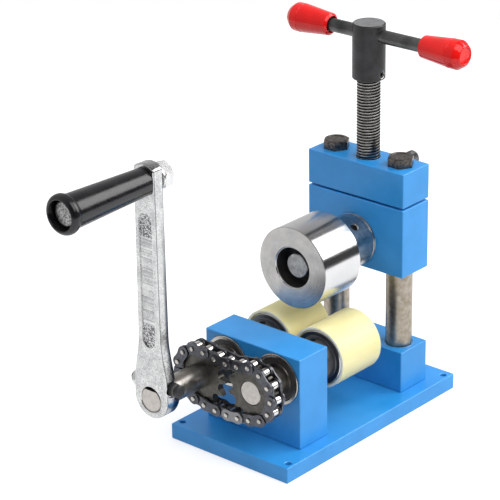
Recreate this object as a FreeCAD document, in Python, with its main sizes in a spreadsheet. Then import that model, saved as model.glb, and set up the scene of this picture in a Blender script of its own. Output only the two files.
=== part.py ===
"""Hand-cranked three-roll bangle bender, in millimetres.

+Z is up and +X is to the right as seen by the person at the crank, who looks along +Y.
The origin is the centre of the base plate's underside.
"""
import FreeCAD
import Part
import Sketcher

import math
import os
import re

SIZES = {
    # base plate and its four bench holes
    "base_width": 100.0,
    "base_length": 178.0,
    "base_thick": 11.0,
    "base_chamfer": 0.8,
    "bench_across": 91.0,
    "bench_along": 165.0,
    "bench_hole": 4.5,
    # the four painted bars share one section
    "bar_width": 80.0,
    "bar_depth": 28.0,
    "bar_chamfer": 0.6,
    "block_y": -50.0,
    "block_height": 63.5,
    "frame_y": 56.0,
    "beam_height": 29.5,
    "head_base": 95.0,
    "head_height": 48.0,
    "bridge_gap": 1.5,
    "bridge_height": 24.0,
    # guide posts
    "post_spacing": 54.0,
    "post_diameter": 18.0,
    "post_seat": 20.0,
    "post_mouth": 20.4,
    "post_edge": 0.5,
    # screws that hold the frame together
    "screw_diameter": 6.0,
    "screw_head": 10.0,
    "screw_head_depth": 6.0,
    "screw_clearance": 6.6,
    "head_pocket": 11.0,
    "head_pocket_depth": 6.8,
    "block_screw_spacing": 60.0,
    "screw_grip": 14.0,
    "hex_bolt": 10.0,
    "hex_bolt_hole": 10.5,
    "hex_bolt_flats": 16.0,
    "hex_bolt_head": 6.4,
    "hex_bolt_grip": 18.0,
    # roll axes
    "roll_spacing": 42.5,
    "roll_axis": 56.0,
    "upper_axis": 114.0,
    # sealed ball bearings, 17 x 35 x 10
    "bearing_outer": 35.0,
    "bearing_bore": 17.0,
    "bearing_width": 10.0,
    "bearing_lip": 30.6,
    "bearing_inner": 22.8,
    "shaft_play": 0.05,
    "seal_recess": 0.6,
    "bearing_proud": 1.0,
    # shafts
    "shaft_diameter": 17.0,
    "shaft_chamfer": 0.7,
    "flat_depth": 2.2,
    "shaft_end_inset": 5.0,
    # lower rolls: steel cores with polyurethane sleeves
    "roll_front": -23.0,
    "roll_length": 40.0,
    "core_diameter": 38.0,
    "core_hub": 30.0,
    "hub_gap": 0.8,
    "sleeve_diameter": 42.0,
    # upper roll: turned steel with a hub behind it
    "upper_diameter": 56.0,
    "upper_length": 36.0,
    "upper_chamfer": 0.5,
    "upper_mouth": 27.5,
    "upper_mouth_depth": 12.0,
    "upper_shaft_inset": 4.6,
    "upper_hub": 36.0,
    "upper_hub_screw": 1.5,
    "upper_hub_screw_tilt": 34.2,
    "grub": 5.0,
    "grub_depth": 5.0,
    # chain and sprockets
    "chain_pitch": 9.525,
    "chain_plane": -87.6,
    "teeth": 12.0,
    "chain_roller": 6.35,
    "seat_play": 0.15,
    "inner_gap": 5.72,
    "inner_plate": 1.3,
    "outer_plate": 1.05,
    "plate_height": 8.2,
    "plate_waist": 7.0,
    "offset_bend": 0.6,
    "pin_diameter": 3.3,
    "pin_proud": 0.9,
    "tooth_width": 5.2,
    "tip_diameter": 41.0,
    "sprocket_hub": 25.0,
    "sprocket_hub_length": 12.0,
    # crank
    "crank_face": -137.0,
    "crank_length": 147.5,
    "boss_diameter": 27.6,
    "boss_rise": 1.2,
    "boss_depth": 13.5,
    "arm_width": 16.4,
    "arm_root": 18.4,
    "arm_thick": 9.4,
    "arm_edge": 1.1,
    "flare_start": 9.0,
    "flare_end": 44.0,
    "eye_diameter": 23.4,
    "flute_width": 10.5,
    "flute_start": 40.0,
    "flute_end": 124.0,
    "flute_depth": 0.8,
    "cotter_diameter": 6.0,
    "cotter_inset": 6.0,
    "cotter_seat": 10.75,
    "cotter_nut_seat": 12.25,
    "cotter_spot": 11.6,
    "cotter_head": 9.0,
    "cotter_head_length": 9.5,
    "cotter_nut_flats": 10.0,
    "cotter_nut": 5.0,
    "cotter_end": 2.5,
    # grip
    "grip_gap": 0.3,
    "grip_length": 71.1,
    "grip_root": 18.0,
    "grip_swell": 22.4,
    "grip_flange": 25.8,
    "grip_flange_width": 7.4,
    "grip_flange_slope": 2.5,
    "grip_flange_round": 2.0,
    "grip_mouth": 18.6,
    "grip_mouth_depth": 8.2,
    "grip_bolt": 10.0,
    "grip_bolt_cap": 16.4,
    "grip_bolt_head": 4.0,
    "grip_nut_flats": 16.0,
    "grip_nut": 8.0,
    "grip_washer": 18.0,
    "grip_washer_thick": 1.6,
    "grip_washer_bore": 10.4,
    "grip_bolt_end": 2.0,
    "running_play": 0.05,
    # sliding head
    "journal_diameter": 10.0,
    "journal_length": 10.3,
    "journal_play": 0.3,
    "journal_neck": 7.0,
    "neck_start": 2.1,
    "neck_height": 3.2,
    "keeper_tip": 3.0,
    "keeper_tip_length": 2.2,
    "washer_outer": 21.6,
    "washer_seat": 22.0,
    "washer_thick": 1.6,
    "washer_bore": 10.4,
    "washer_sink": 2.0,
    "shaft_tail": 3.0,
    # lead screw and tee handle
    "lead_screw": 16.0,
    "lead_screw_mouth": 17.0,
    "tee_hub": 22.0,
    "tee_hub_base": 223.5,
    "tee_hub_height": 37.5,
    "tee_hub_socket": 16.0,
    "tee_hub_edge": 0.8,
    "tee_grub_z": 227.3,
    "tee_grub": 2.6,
    "tommy_bar": 9.0,
    "tommy_bar_z": 253.4,
    "tommy_bar_shift": 6.5,
    "knob_gap": 74.5,
    "knob_length": 33.5,
    "knob_socket": 15.0,
    "knob_edge": 1.6,
    "knob_mouth": 12.0,
    "knob_neck": 15.2,
    "knob_shoulder": 19.5,
    "knob_nose": 12.6,
    "knob_taper_length": 23.5,
    "knob_nose_length": 4.2,
    # lock screw behind the lead screw
    "lock_z": 153.0,
    "lock_screw": 6.0,
    "lock_head": 10.2,
    "lock_head_length": 6.0,
    "lock_stand_off": 30.0,
    "lock_tip_gap": 0.4,
}

document = FreeCAD.newDocument("bangle_bender")
sheet = document.addObject("Spreadsheet::Sheet", "dims")
for row, (word, number) in enumerate(SIZES.items(), start=1):
    sheet.set(f"A{row}", word)
    sheet.set(f"B{row}", str(number))
    sheet.setAlias(f"B{row}", word)
document.recompute()

WORD = re.compile(r"[a-z_]+")
CLEAR = "1"  # how far a cutting tool runs past the face that it opens
PARTS = []


def formula(text):
    """Turns each name of a size in the text into its cell of the sheet."""
    return WORD.sub(lambda match: f"dims.{match[0]}" if match[0] in SIZES else match[0], text)


def bind(item, prop, text):
    item.setExpression(prop, formula(text))


def place(item, x="0", y="0", z="0"):
    for axis, text in zip("xyz", (x, y, z)):
        bind(item, f"Placement.Base.{axis}", text)


def new_body(name, x="0", y="0", z="0", exported=True):
    body = document.addObject("PartDesign::Body", name)
    body.AllowCompound = True
    place(body, x, y, z)
    if exported:
        PARTS.append(body)
    return body


def new_sketch(body, plane, lift="0"):
    """A sketch on one of the body's origin planes, lifted along the plane's normal."""
    sketch = body.newObject("Sketcher::SketchObject", f"{body.Name}_sketch")
    support = next(item for item in body.Origin.OriginFeatures if item.Role == plane)
    sketch.AttachmentSupport = [(support, "")]
    sketch.MapMode = "FlatFace"
    bind(sketch, "AttachmentOffset.Base.z", lift)
    return sketch


def pin_point(sketch, curve, end, x, y, guess=(1.0, 1.0)):
    """Holds one point of a curve at bound coordinates, which the solver seeks from a guess."""
    for kind, text, axis, value in zip(("DistanceX", "DistanceY"), (x, y), (-2, -1), guess):
        if text == "0":
            sketch.addConstraint(Sketcher.Constraint("PointOnObject", curve, end, axis))
            continue
        index = sketch.addConstraint(Sketcher.Constraint(kind, -1, 1, curve, end, value))
        bind(sketch, f"Constraints[{index}]", text)


def draw_outline(sketch, points):
    """A closed outline of straight lines through bound points."""
    first = sketch.GeometryCount
    count = len(points)
    guesses = []
    for index in range(count):
        angle = 2 * math.pi * index / count
        guesses.append(FreeCAD.Vector(10 * math.cos(angle), 10 * math.sin(angle), 0))
    for index in range(count):
        line = Part.LineSegment(guesses[index], guesses[(index + 1) % count])
        sketch.addGeometry(line, False)
    for index in range(count):
        following = first + (index + 1) % count
        sketch.addConstraint(Sketcher.Constraint("Coincident", first + index, 2, following, 1))
    for index, (x, y) in enumerate(points):
        pin_point(sketch, first + index, 1, x, y)


def draw_rectangle(sketch, left, bottom, right, top):
    draw_outline(sketch, [(left, bottom), (right, bottom), (right, top), (left, top)])


def draw_circle(sketch, diameter, x="0", y="0"):
    circle = Part.Circle(FreeCAD.Vector(1, 1, 0), FreeCAD.Vector(0, 0, 1), 1)
    curve = sketch.addGeometry(circle, False)
    pin_point(sketch, curve, 3, x, y)
    index = sketch.addConstraint(Sketcher.Constraint("Diameter", curve, 2.0))
    bind(sketch, f"Constraints[{index}]", diameter)


def facet_points(diameter, sides=12, x="0", y="0", first=0, last=None):
    """Corners of a regular polygon drawn inside a circle, from one corner to another."""
    points = []
    for corner in range(first, sides if last is None else last):
        angle = f"{360 * corner / sides} deg"
        points.append((f"{x} + {diameter} / 2 * cos({angle})", f"{y} + {diameter} / 2 * sin({angle})"))
    return points


def draw_thread(sketch, diameter, x="0", y="0"):
    """A screw thread or its hole, hidden in use, with twelve flat sides."""
    draw_outline(sketch, facet_points(diameter, 12, x, y))


def draw_hexagon(sketch, flats, x="0", y="0"):
    """A regular hexagon with two corners on the sketch's first axis."""
    corner = f"{flats} / sqrt(3)"
    side = f"{flats} / 2"
    points = [(f"{x} + {corner}", y)]
    points.append((f"{x} + {corner} / 2", f"{y} + {side}"))
    points.append((f"{x} - {corner} / 2", f"{y} + {side}"))
    points.append((f"{x} - {corner}", y))
    points.append((f"{x} - {corner} / 2", f"{y} - {side}"))
    points.append((f"{x} + {corner} / 2", f"{y} - {side}"))
    draw_outline(sketch, points)


def pad(body, sketch, length, reverse=False):
    feature = body.newObject("PartDesign::Pad", f"{body.Name}_pad")
    feature.Profile = sketch
    bind(feature, "Length", length)
    feature.Reversed = reverse
    return feature


def cut(body, sketch, depth=None, reverse=False):
    """A pocket of the given depth, or right through both ways without one."""
    feature = body.newObject("PartDesign::Pocket", f"{body.Name}_cut")
    feature.Profile = sketch
    feature.Reversed = reverse
    if depth is None:
        feature.Type = "ThroughAll"
        feature.Midplane = True
    else:
        bind(feature, "Length", depth)
    return feature


def turn(body, sketch, axis="V_Axis", kind="Revolution"):
    """A solid or a groove turned about an axis of its sketch."""
    feature = body.newObject(f"PartDesign::{kind}", f"{body.Name}_turned")
    feature.Profile = sketch
    feature.ReferenceAxis = (sketch, [axis])
    feature.Angle = 360
    return feature


def mirror(body, feature, plane="YZ_Plane"):
    """The same feature again on the other side of an origin plane."""
    copy = body.newObject("PartDesign::Mirrored", f"{body.Name}_mirrored")
    copy.Originals = [feature]
    support = next(item for item in body.Origin.OriginFeatures if item.Role == plane)
    copy.MirrorPlane = (support, [""])
    body.Tip = copy
    return copy


def bevel(body, feature, size, chosen=None, kind="Chamfer"):
    """Bevels or rounds the edges of a feature, all of them or those that a test picks."""
    document.recompute()
    names = []
    for index, edge in enumerate(feature.Shape.Edges, start=1):
        if chosen is None or chosen(edge):
            names.append(f"Edge{index}")
    edged = body.newObject(f"PartDesign::{kind}", f"{body.Name}_edged")
    edged.Base = (feature, names)
    bind(edged, "Size" if kind == "Chamfer" else "Radius", size)
    return edged


def turned_body(name, points, x="0", y="0", z="0", plane="XY_Plane", axis="V_Axis"):
    """A body made by turning one outline, or several, about its own axis."""
    body = new_body(name, x, y, z)
    sketch = new_sketch(body, plane)
    outlines = points if isinstance(points[0], list) else [points]
    for outline in outlines:
        draw_outline(sketch, outline)
    turn(body, sketch, axis)
    return body


def painted_bar(name, y, z, height):
    """A bar with the frame's common section, its small edges broken before drilling."""
    body = new_body(name, "0", y, z)
    sketch = new_sketch(body, "XY_Plane")
    draw_rectangle(sketch, "-bar_width / 2", "-bar_depth / 2", "bar_width / 2", "bar_depth / 2")
    block = pad(body, sketch, height)
    bevel(body, block, "bar_chamfer")
    return body


# ---------------------------------------------------------------- base plate
base = new_body("base_plate")
sketch = new_sketch(base, "XY_Plane")
draw_rectangle(sketch, "-base_width / 2", "-base_length / 2", "base_width / 2", "base_length / 2")
plate = pad(base, sketch, "base_thick")
bevel(base, plate, "base_chamfer")
holes = new_sketch(base, "XY_Plane")
pockets = new_sketch(base, "XY_Plane")
for side in ("-", ""):
    for end in ("-", ""):
        draw_circle(holes, "bench_hole", f"{side}bench_across / 2", f"{end}bench_along / 2")
    for spacing, y in (("block_screw_spacing", "block_y"), ("post_spacing", "frame_y")):
        draw_thread(holes, "screw_clearance", f"{side}{spacing} / 2", y)
        draw_thread(pockets, "head_pocket", f"{side}{spacing} / 2", y)
cut(base, holes)
cut(base, pockets, "head_pocket_depth", reverse=True)

# ---------------------------------------------------------------- front bearing block
block = painted_bar("front_bearing_block", "block_y", "base_thick", "block_height")
bores = new_sketch(block, "XZ_Plane")
for side in ("-", ""):
    draw_circle(bores, "bearing_outer", f"{side}roll_spacing / 2", "roll_axis - base_thick")
cut(block, bores)
sketch = new_sketch(block, "XY_Plane")
for side in ("-", ""):
    draw_thread(sketch, "screw_diameter", f"{side}block_screw_spacing / 2")
cut(block, sketch, "screw_grip", reverse=True)

# ---------------------------------------------------------------- rear beam and guide posts
beam = painted_bar("rear_post_beam", "frame_y", "base_thick", "beam_height")
seats = new_sketch(beam, "XY_Plane", "beam_height")
mouths = new_sketch(beam, "XY_Plane", "beam_height")
holes = new_sketch(beam, "XY_Plane")
for side in ("-", ""):
    draw_circle(seats, "post_diameter", f"{side}post_spacing / 2")
    draw_circle(mouths, "post_mouth", f"{side}post_spacing / 2")
    draw_thread(holes, "screw_clearance", f"{side}post_spacing / 2")
cut(beam, seats, "post_seat")
cut(beam, mouths, "post_edge")
cut(beam, holes)

POST_FOOT = "base_thick + beam_height - post_seat"
BRIDGE_BASE = "head_base + head_height + bridge_gap"
post_height = f"{BRIDGE_BASE} - ({POST_FOOT})"
for name, side in (("guide_post_left", "-"), ("guide_post_right", "")):
    post = new_body(name, f"{side}post_spacing / 2", "frame_y", POST_FOOT)
    sketch = new_sketch(post, "XY_Plane")
    draw_circle(sketch, "post_diameter")
    pad(post, sketch, post_height)
    sketch = new_sketch(post, "XY_Plane")
    draw_thread(sketch, "screw_diameter")
    cut(post, sketch, "screw_grip", reverse=True)
    sketch = new_sketch(post, "XY_Plane", post_height)
    draw_thread(sketch, "hex_bolt")
    cut(post, sketch, "hex_bolt_grip")


def socket_screws(name, spacing, y, length):
    """A pair of cap screws that come up through the base plate."""
    body = new_body(name, "0", y, "head_pocket_depth")
    heads = new_sketch(body, "XY_Plane")
    shanks = new_sketch(body, "XY_Plane")
    for side in ("-", ""):
        draw_thread(heads, "screw_head", f"{side}{spacing} / 2")
        draw_thread(shanks, "screw_diameter", f"{side}{spacing} / 2")
    pad(body, heads, "screw_head_depth", reverse=True)
    pad(body, shanks, length)


FLOOR_LEFT = "base_thick - head_pocket_depth"
socket_screws("block_screws", "block_screw_spacing", "block_y", f"{FLOOR_LEFT} + screw_grip")
beam_web = "beam_height - post_seat"
socket_screws("post_screws", "post_spacing", "frame_y", f"{FLOOR_LEFT} + {beam_web} + screw_grip")

# ---------------------------------------------------------------- bridge on top of the posts
bridge = painted_bar("top_bridge", "frame_y", BRIDGE_BASE, "bridge_height")
holes = new_sketch(bridge, "XY_Plane")
draw_circle(holes, "lead_screw + 2 * running_play")
for side in ("-", ""):
    draw_thread(holes, "hex_bolt_hole", f"{side}post_spacing / 2")
cut(bridge, holes)
mouth = new_sketch(bridge, "XY_Plane", "bridge_height")
draw_circle(mouth, "lead_screw_mouth")
cut(bridge, mouth, "bar_chamfer")
lock_hole = new_sketch(bridge, "XZ_Plane")
draw_circle(lock_hole, "lock_screw + 2 * running_play", "0", f"lock_z - ({BRIDGE_BASE})")
cut(bridge, lock_hole, "bar_depth")

bolts = new_body("bridge_bolts", "0", "frame_y", f"{BRIDGE_BASE} + bridge_height")
sketch = new_sketch(bolts, "XY_Plane")
draw_hexagon(sketch, "hex_bolt_flats", "post_spacing / 2")
heads = pad(bolts, sketch, "hex_bolt_head")
sketch = new_sketch(bolts, "XY_Plane")
draw_thread(sketch, "hex_bolt", "post_spacing / 2")
shanks = pad(bolts, sketch, "bridge_height + hex_bolt_grip", reverse=True)
mirror(bolts, heads).Originals = [heads, shanks]


# ---------------------------------------------------------------- bearings
BLOCK_FRONT = "(block_y - bar_depth / 2)"
BLOCK_BACK = "(block_y + bar_depth / 2)"
HEAD_FRONT = "(frame_y - bar_depth / 2)"
HEAD_BACK = "(frame_y + bar_depth / 2)"


def plain_bearing(start, end):
    bore = "bearing_bore / 2 + shaft_play"
    return [(bore, start), ("bearing_outer / 2", start), ("bearing_outer / 2", end), (bore, end)]


def open_bearing(start, end, way):
    """A bearing whose seal shows, sunk between its rings, at the start; way points inwards."""
    return [
        ("bearing_bore / 2 + shaft_play", start),
        ("bearing_inner / 2", start),
        ("bearing_inner / 2", f"{start} {way} seal_recess"),
        ("bearing_lip / 2", f"{start} {way} seal_recess"),
        ("bearing_lip / 2", start),
        ("bearing_outer / 2", start),
        ("bearing_outer / 2", end),
        ("bearing_bore / 2 + shaft_play", end),
    ]


LOWER_OPEN = f"({BLOCK_FRONT} - bearing_proud)"
for word, side in (("left", "-"), ("right", "")):
    at = (f"{side}roll_spacing / 2", "0", "roll_axis")
    rings = open_bearing(LOWER_OPEN, f"{LOWER_OPEN} + bearing_width", "+")
    turned_body(f"{word}_front_bearing", rings, *at)
    turned_body(f"{word}_back_bearing", plain_bearing(f"{BLOCK_BACK} - bearing_width", BLOCK_BACK), *at)
at = ("0", "0", "upper_axis")
turned_body("upper_front_bearing", plain_bearing(HEAD_FRONT, f"{HEAD_FRONT} + bearing_width"), *at)
turned_body("upper_back_bearing", open_bearing(HEAD_BACK, f"{HEAD_BACK} - bearing_width", "-"), *at)

# ---------------------------------------------------------------- lower shafts
HUB_FRONT = f"({BLOCK_BACK} + hub_gap)"
ROLL_BACK = "roll_front + roll_length"
SHAFT_BACK = f"{ROLL_BACK} - shaft_end_inset"
SPROCKET_FRONT = "chain_plane - tooth_width / 2"
SPROCKET_BACK = "chain_plane + tooth_width / 2 + sprocket_hub_length"


def lower_shaft(name, side, front):
    outline = [
        ("0", front),
        ("shaft_diameter / 2 - shaft_chamfer", front),
        ("shaft_diameter / 2", f"{front} + shaft_chamfer"),
        ("shaft_diameter / 2", SHAFT_BACK),
        ("0", SHAFT_BACK),
    ]
    return turned_body(name, outline, f"{side}roll_spacing / 2", "0", "roll_axis")


lower_shaft("right_roll_shaft", "", SPROCKET_FRONT)
crank_shaft = lower_shaft("left_roll_shaft", "-", "crank_face")
flat = new_sketch(crank_shaft, "YZ_Plane")
FLAT = "(shaft_diameter / 2 - flat_depth)"
draw_rectangle(flat, f"crank_face - {CLEAR}", FLAT, "crank_face + boss_depth", "shaft_diameter / 2")
cut(crank_shaft, flat)

# ---------------------------------------------------------------- lower rolls
CORE_GRUB_Y = f"(roll_front + {HUB_FRONT}) / 2"
for word, side in (("left", "-"), ("right", "")):
    core = turned_body(
        f"{word}_roll_core",
        [
            ("shaft_diameter / 2", HUB_FRONT),
            ("core_hub / 2", HUB_FRONT),
            ("core_hub / 2", "roll_front"),
            ("core_diameter / 2", "roll_front"),
            ("core_diameter / 2", ROLL_BACK),
            ("shaft_diameter / 2", ROLL_BACK),
        ],
        f"{side}roll_spacing / 2",
        "0",
        "roll_axis",
    )
    tapped = new_sketch(core, "XY_Plane", "core_hub")
    draw_thread(tapped, "grub", "0", CORE_GRUB_Y)
    cut(core, tapped, "core_hub")
    turned_body(
        f"{word}_roll_sleeve",
        [
            ("core_diameter / 2", "roll_front"),
            ("sleeve_diameter / 2", "roll_front"),
            ("sleeve_diameter / 2", ROLL_BACK),
            ("core_diameter / 2", ROLL_BACK),
        ],
        f"{side}roll_spacing / 2",
        "0",
        "roll_axis",
    )


def lean(body, degrees):
    """Turns a body about its own Y axis."""
    body.Placement = FreeCAD.Placement(
        body.Placement.Base,
        FreeCAD.Rotation(FreeCAD.Vector(0, 1, 0), degrees),
    )


def grub_screw(name, x, y, z, bottom, degrees=0):
    """A headless screw that stands on a shaft, leant over about the shaft's axis."""
    body = new_body(name, x, y, z)
    sketch = new_sketch(body, "XY_Plane", bottom)
    draw_thread(sketch, "grub")
    pad(body, sketch, "grub_depth")
    lean(body, degrees)


LEFT_PHASE = -15  # the left wheel is turned by half a tooth, so that the chain lies even
RIGHT_PHASE = 0
for word, side, phase in (("left", "-", LEFT_PHASE), ("right", "", RIGHT_PHASE)):
    x = f"{side}roll_spacing / 2"
    grub_screw(f"{word}_roll_grub_screw", x, CORE_GRUB_Y, "roll_axis", "shaft_diameter / 2")
    y = f"{SPROCKET_BACK} - sprocket_hub_length / 2"
    grub_screw(f"{word}_sprocket_grub_screw", x, y, "roll_axis", "shaft_diameter / 2", phase)

# ---------------------------------------------------------------- sprockets
PITCH_RADIUS = "(chain_pitch / (2 * sin(180 deg / teeth)))"
SEAT_RADIUS = "(chain_roller / 2 + seat_play)"


def sprocket(name, side, phase):
    """A roller chain wheel whose hub faces the bearing block; phase turns its tooth gaps."""
    half = "tooth_width / 2"
    hub_end = f"{half} + sprocket_hub_length"
    outline = [
        ("shaft_diameter / 2", f"-{half}"),
        ("tip_diameter / 2", f"-{half}"),
        ("tip_diameter / 2", half),
        ("sprocket_hub / 2", half),
        ("sprocket_hub / 2", hub_end),
        ("shaft_diameter / 2", hub_end),
    ]
    body = turned_body(name, outline, f"{side}roll_spacing / 2", "chain_plane", "roll_axis")
    gap = new_sketch(body, "XZ_Plane")
    outside = f"tip_diameter / 2 + {CLEAR}"
    rise = f"({outside} - {PITCH_RADIUS} + {SEAT_RADIUS} / 2)"
    half_mouth = f"({SEAT_RADIUS} * sin(60 deg) + {rise} * tan(30 deg))"
    corners = facet_points(f"(2 * {SEAT_RADIUS})", 12, PITCH_RADIUS, "0", 4, 9)
    corners.append((outside, f"-{half_mouth}"))
    corners.append((outside, half_mouth))
    draw_outline(gap, corners)
    first = cut(body, gap)
    document.recompute()
    ring = body.newObject("PartDesign::PolarPattern", f"{name}_teeth")
    ring.Originals = [first]
    ring.Axis = (next(a for a in body.Origin.OriginFeatures if a.Role == "Y_Axis"), [""])
    ring.Angle = 360
    bind(ring, "Occurrences", "teeth")
    body.Tip = ring
    tapped = new_sketch(body, "XY_Plane", "sprocket_hub")
    draw_thread(tapped, "grub", "0", f"{half} + sprocket_hub_length / 2")
    cut(body, tapped, "sprocket_hub")
    lean(body, phase)


sprocket("left_sprocket", "-", LEFT_PHASE)
sprocket("right_sprocket", "", RIGHT_PHASE)


# ---------------------------------------------------------------- roller chain
def plate_points(first, last):
    """Outline of a link plate with a rounded end about each pin and a slight waist between."""
    near = facet_points("plate_height", 12, "0", "0", 3, 10)
    far = facet_points("plate_height", 12, "chain_pitch", "0", 9, 16)
    points = near if first else []
    if first and last:
        points = near + [("chain_pitch / 2", "-plate_waist / 2")]
    if last:
        points = points + far
    if first and last:
        points.append(("chain_pitch / 2", "plate_waist / 2"))
    return points


def link_form(name, near, far):
    """A pair of link plates, one each side of the chain's mid-plane, between two depths."""
    form = new_body(name, exported=False)
    plate = new_sketch(form, "XZ_Plane", near)
    draw_outline(plate, plate_points(True, True))
    return form, [pad(form, plate, f"{far} - ({near})")]


def finish_form(form, features):
    both = mirror(form, features[0], "XZ_Plane")
    both.Originals = features
    return both


INNER_FACE = "inner_gap / 2"
OUTER_FACE = "inner_gap / 2 + inner_plate"
OUTER_SIDE = "inner_gap / 2 + inner_plate + outer_plate"

# an outer link carries the riveted ends of its two pins
outer_form, features = link_form("outer_link_form", OUTER_FACE, OUTER_SIDE)
rivets = new_sketch(outer_form, "XZ_Plane", OUTER_SIDE)
draw_outline(rivets, facet_points("pin_diameter", 8))
draw_outline(rivets, facet_points("pin_diameter", 8, "chain_pitch"))
features.append(pad(outer_form, rivets, "pin_proud"))
finish_form(outer_form, features)

# an inner link carries its two rollers
inner_form, features = link_form("inner_link_form", INNER_FACE, OUTER_FACE)
finish_form(inner_form, features)
rollers = new_sketch(inner_form, "XZ_Plane", f"-{INNER_FACE}")
draw_outline(rollers, facet_points("chain_roller"))
draw_outline(rollers, facet_points("chain_roller", 12, "chain_pitch"))
pad(inner_form, rollers, "inner_gap")

# the offset link is an outer link at its first pin and an inner link at its second
offset_form = new_body("offset_link_form", exported=False)
sketch = new_sketch(offset_form, "XZ_Plane", OUTER_FACE)
draw_outline(sketch, plate_points(True, False))
features = [pad(offset_form, sketch, "outer_plate")]
sketch = new_sketch(offset_form, "XZ_Plane", INNER_FACE)
draw_outline(sketch, plate_points(False, True))
features.append(pad(offset_form, sketch, "inner_plate"))
sketch = new_sketch(offset_form, "XY_Plane", "-plate_height / 2")
crank_start = "(chain_pitch / 2 - offset_bend)"
crank_end = "(chain_pitch / 2 + offset_bend)"
draw_outline(
    sketch,
    [
        ("0", f"-({OUTER_SIDE})"),
        (crank_start, f"-({OUTER_SIDE})"),
        (crank_end, f"-({OUTER_FACE})"),
        ("chain_pitch", f"-({OUTER_FACE})"),
        ("chain_pitch", f"-{INNER_FACE}"),
        (crank_end, f"-{INNER_FACE}"),
        (crank_start, f"-({OUTER_FACE})"),
        ("0", f"-({OUTER_FACE})"),
    ],
)
features.append(pad(offset_form, sketch, "plate_height"))
sketch = new_sketch(offset_form, "XZ_Plane", OUTER_SIDE)
draw_outline(sketch, facet_points("pin_diameter", 8))
features.append(pad(offset_form, sketch, "pin_proud"))
finish_form(offset_form, features)
sketch = new_sketch(offset_form, "XZ_Plane", f"-{INNER_FACE}")
draw_outline(sketch, facet_points("chain_roller", 12, "chain_pitch"))
pad(offset_form, sketch, "inner_gap")
document.recompute()


def cell(word):
    return getattr(sheet, word)


def seats_around(side, first_angle, last_angle):
    """Pin places in the tooth gaps of one sprocket, gap by gap."""
    step = 360 / cell("teeth")
    radius = cell("chain_pitch") / (2 * math.sin(math.radians(step / 2)))
    count = round(abs(last_angle - first_angle) / step)
    centre_x = side * cell("roll_spacing") / 2
    places = []
    for index in range(count + 1):
        angle = math.radians(first_angle + (last_angle - first_angle) * index / count)
        x = centre_x + radius * math.cos(angle)
        z = cell("roll_axis") + radius * math.sin(angle)
        places.append((x, z))
    return places


def hanging_span(start, end, links, turn_way):
    """Pin places between two seats, on the arc that this many whole links make."""
    pitch = cell("chain_pitch")
    chord = math.hypot(end[0] - start[0], end[1] - start[1])
    low = 1e-6
    high = math.pi / links
    while high - low > 1e-9:
        bend = (low + high) / 2
        reach = pitch * math.sin(links * bend / 2) / math.sin(bend / 2)
        if reach > chord:
            low = bend
        else:
            high = bend
    heading = math.atan2(end[1] - start[1], end[0] - start[0])
    heading -= turn_way * bend * (links - 1) / 2
    places = []
    x, z = start
    for _ in range(links - 1):
        x += pitch * math.cos(heading)
        z += pitch * math.sin(heading)
        heading += turn_way * bend
        places.append((x, z))
    return places


left_seats = seats_around(-1, 165, 75)
right_seats = seats_around(1, 90, -90)
left_return = seats_around(-1, 255, 195)
pins = left_seats
pins = pins + hanging_span(left_seats[-1], right_seats[0], 4, 1)
pins = pins + right_seats
pins = pins + hanging_span(right_seats[-1], left_return[0], 5, -1)
pins = pins + left_return
CONNECTING = 14  # the link that closes the chain sits in the slack side below


def chain_piece(name, form, numbers):
    """Copies of one link's form, each laid from its own pin to the next."""
    copies = []
    for number in numbers:
        x, z = pins[number]
        next_x, next_z = pins[(number + 1) % len(pins)]
        heading = math.degrees(math.atan2(next_z - z, next_x - x))
        copy = form.Shape.copy()
        copy.Placement = FreeCAD.Placement(
            FreeCAD.Vector(x, cell("chain_plane"), z),
            FreeCAD.Rotation(FreeCAD.Vector(0, 1, 0), -heading),
        )
        copies.append(copy)
    piece = document.addObject("Part::Feature", name)
    piece.Shape = Part.makeCompound(copies)
    PARTS.append(piece)


last = len(pins) - 1
outer_numbers = [number for number in range(0, last, 2) if number != CONNECTING]
chain_piece("chain_outer_links", outer_form, outer_numbers)
chain_piece("chain_connecting_link", outer_form, [CONNECTING])
chain_piece("chain_inner_links", inner_form, range(1, last, 2))
chain_piece("chain_offset_link", offset_form, [last])

# ---------------------------------------------------------------- crank arm
FLARE_STEPS = 7
TOP_STEPS = 3


def flare_points(side):
    """One side of the arm where its root widens in an easy S curve into its boss, from the boss up."""
    points = []
    for step in range(FLARE_STEPS + 1):
        part = step / FLARE_STEPS
        half = f"arm_root / 2 + (boss_diameter - arm_root) / 2 * (1 + cos({180 * part} deg)) / 2"
        points.append((f"{side}({half})", f"flare_start + {part} * (flare_end - flare_start)"))
    return points


def eye_points():
    """The arm's top end, an arc about the eye that meets both sides of the arm."""
    points = []
    for step in range(-TOP_STEPS, TOP_STEPS + 1):
        angle = f"{step / TOP_STEPS} * asin(arm_width / eye_diameter)"
        rise = f"crank_length + eye_diameter / 2 * cos({angle})"
        points.append((f"-eye_diameter / 2 * sin({angle})", rise))
    return points


arm = new_body("crank_arm", "-roll_spacing / 2", "crank_face", "roll_axis")
sketch = new_sketch(arm, "XZ_Plane")
under = facet_points("boss_diameter", 24, "0", "boss_rise", -12, 1)
draw_outline(sketch, under + flare_points("") + eye_points() + flare_points("-")[::-1])
blank = pad(arm, sketch, "arm_thick", reverse=True)


def along_outline(edge):
    return abs(edge.Vertexes[0].Y - edge.Vertexes[-1].Y) < 0.01


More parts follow.
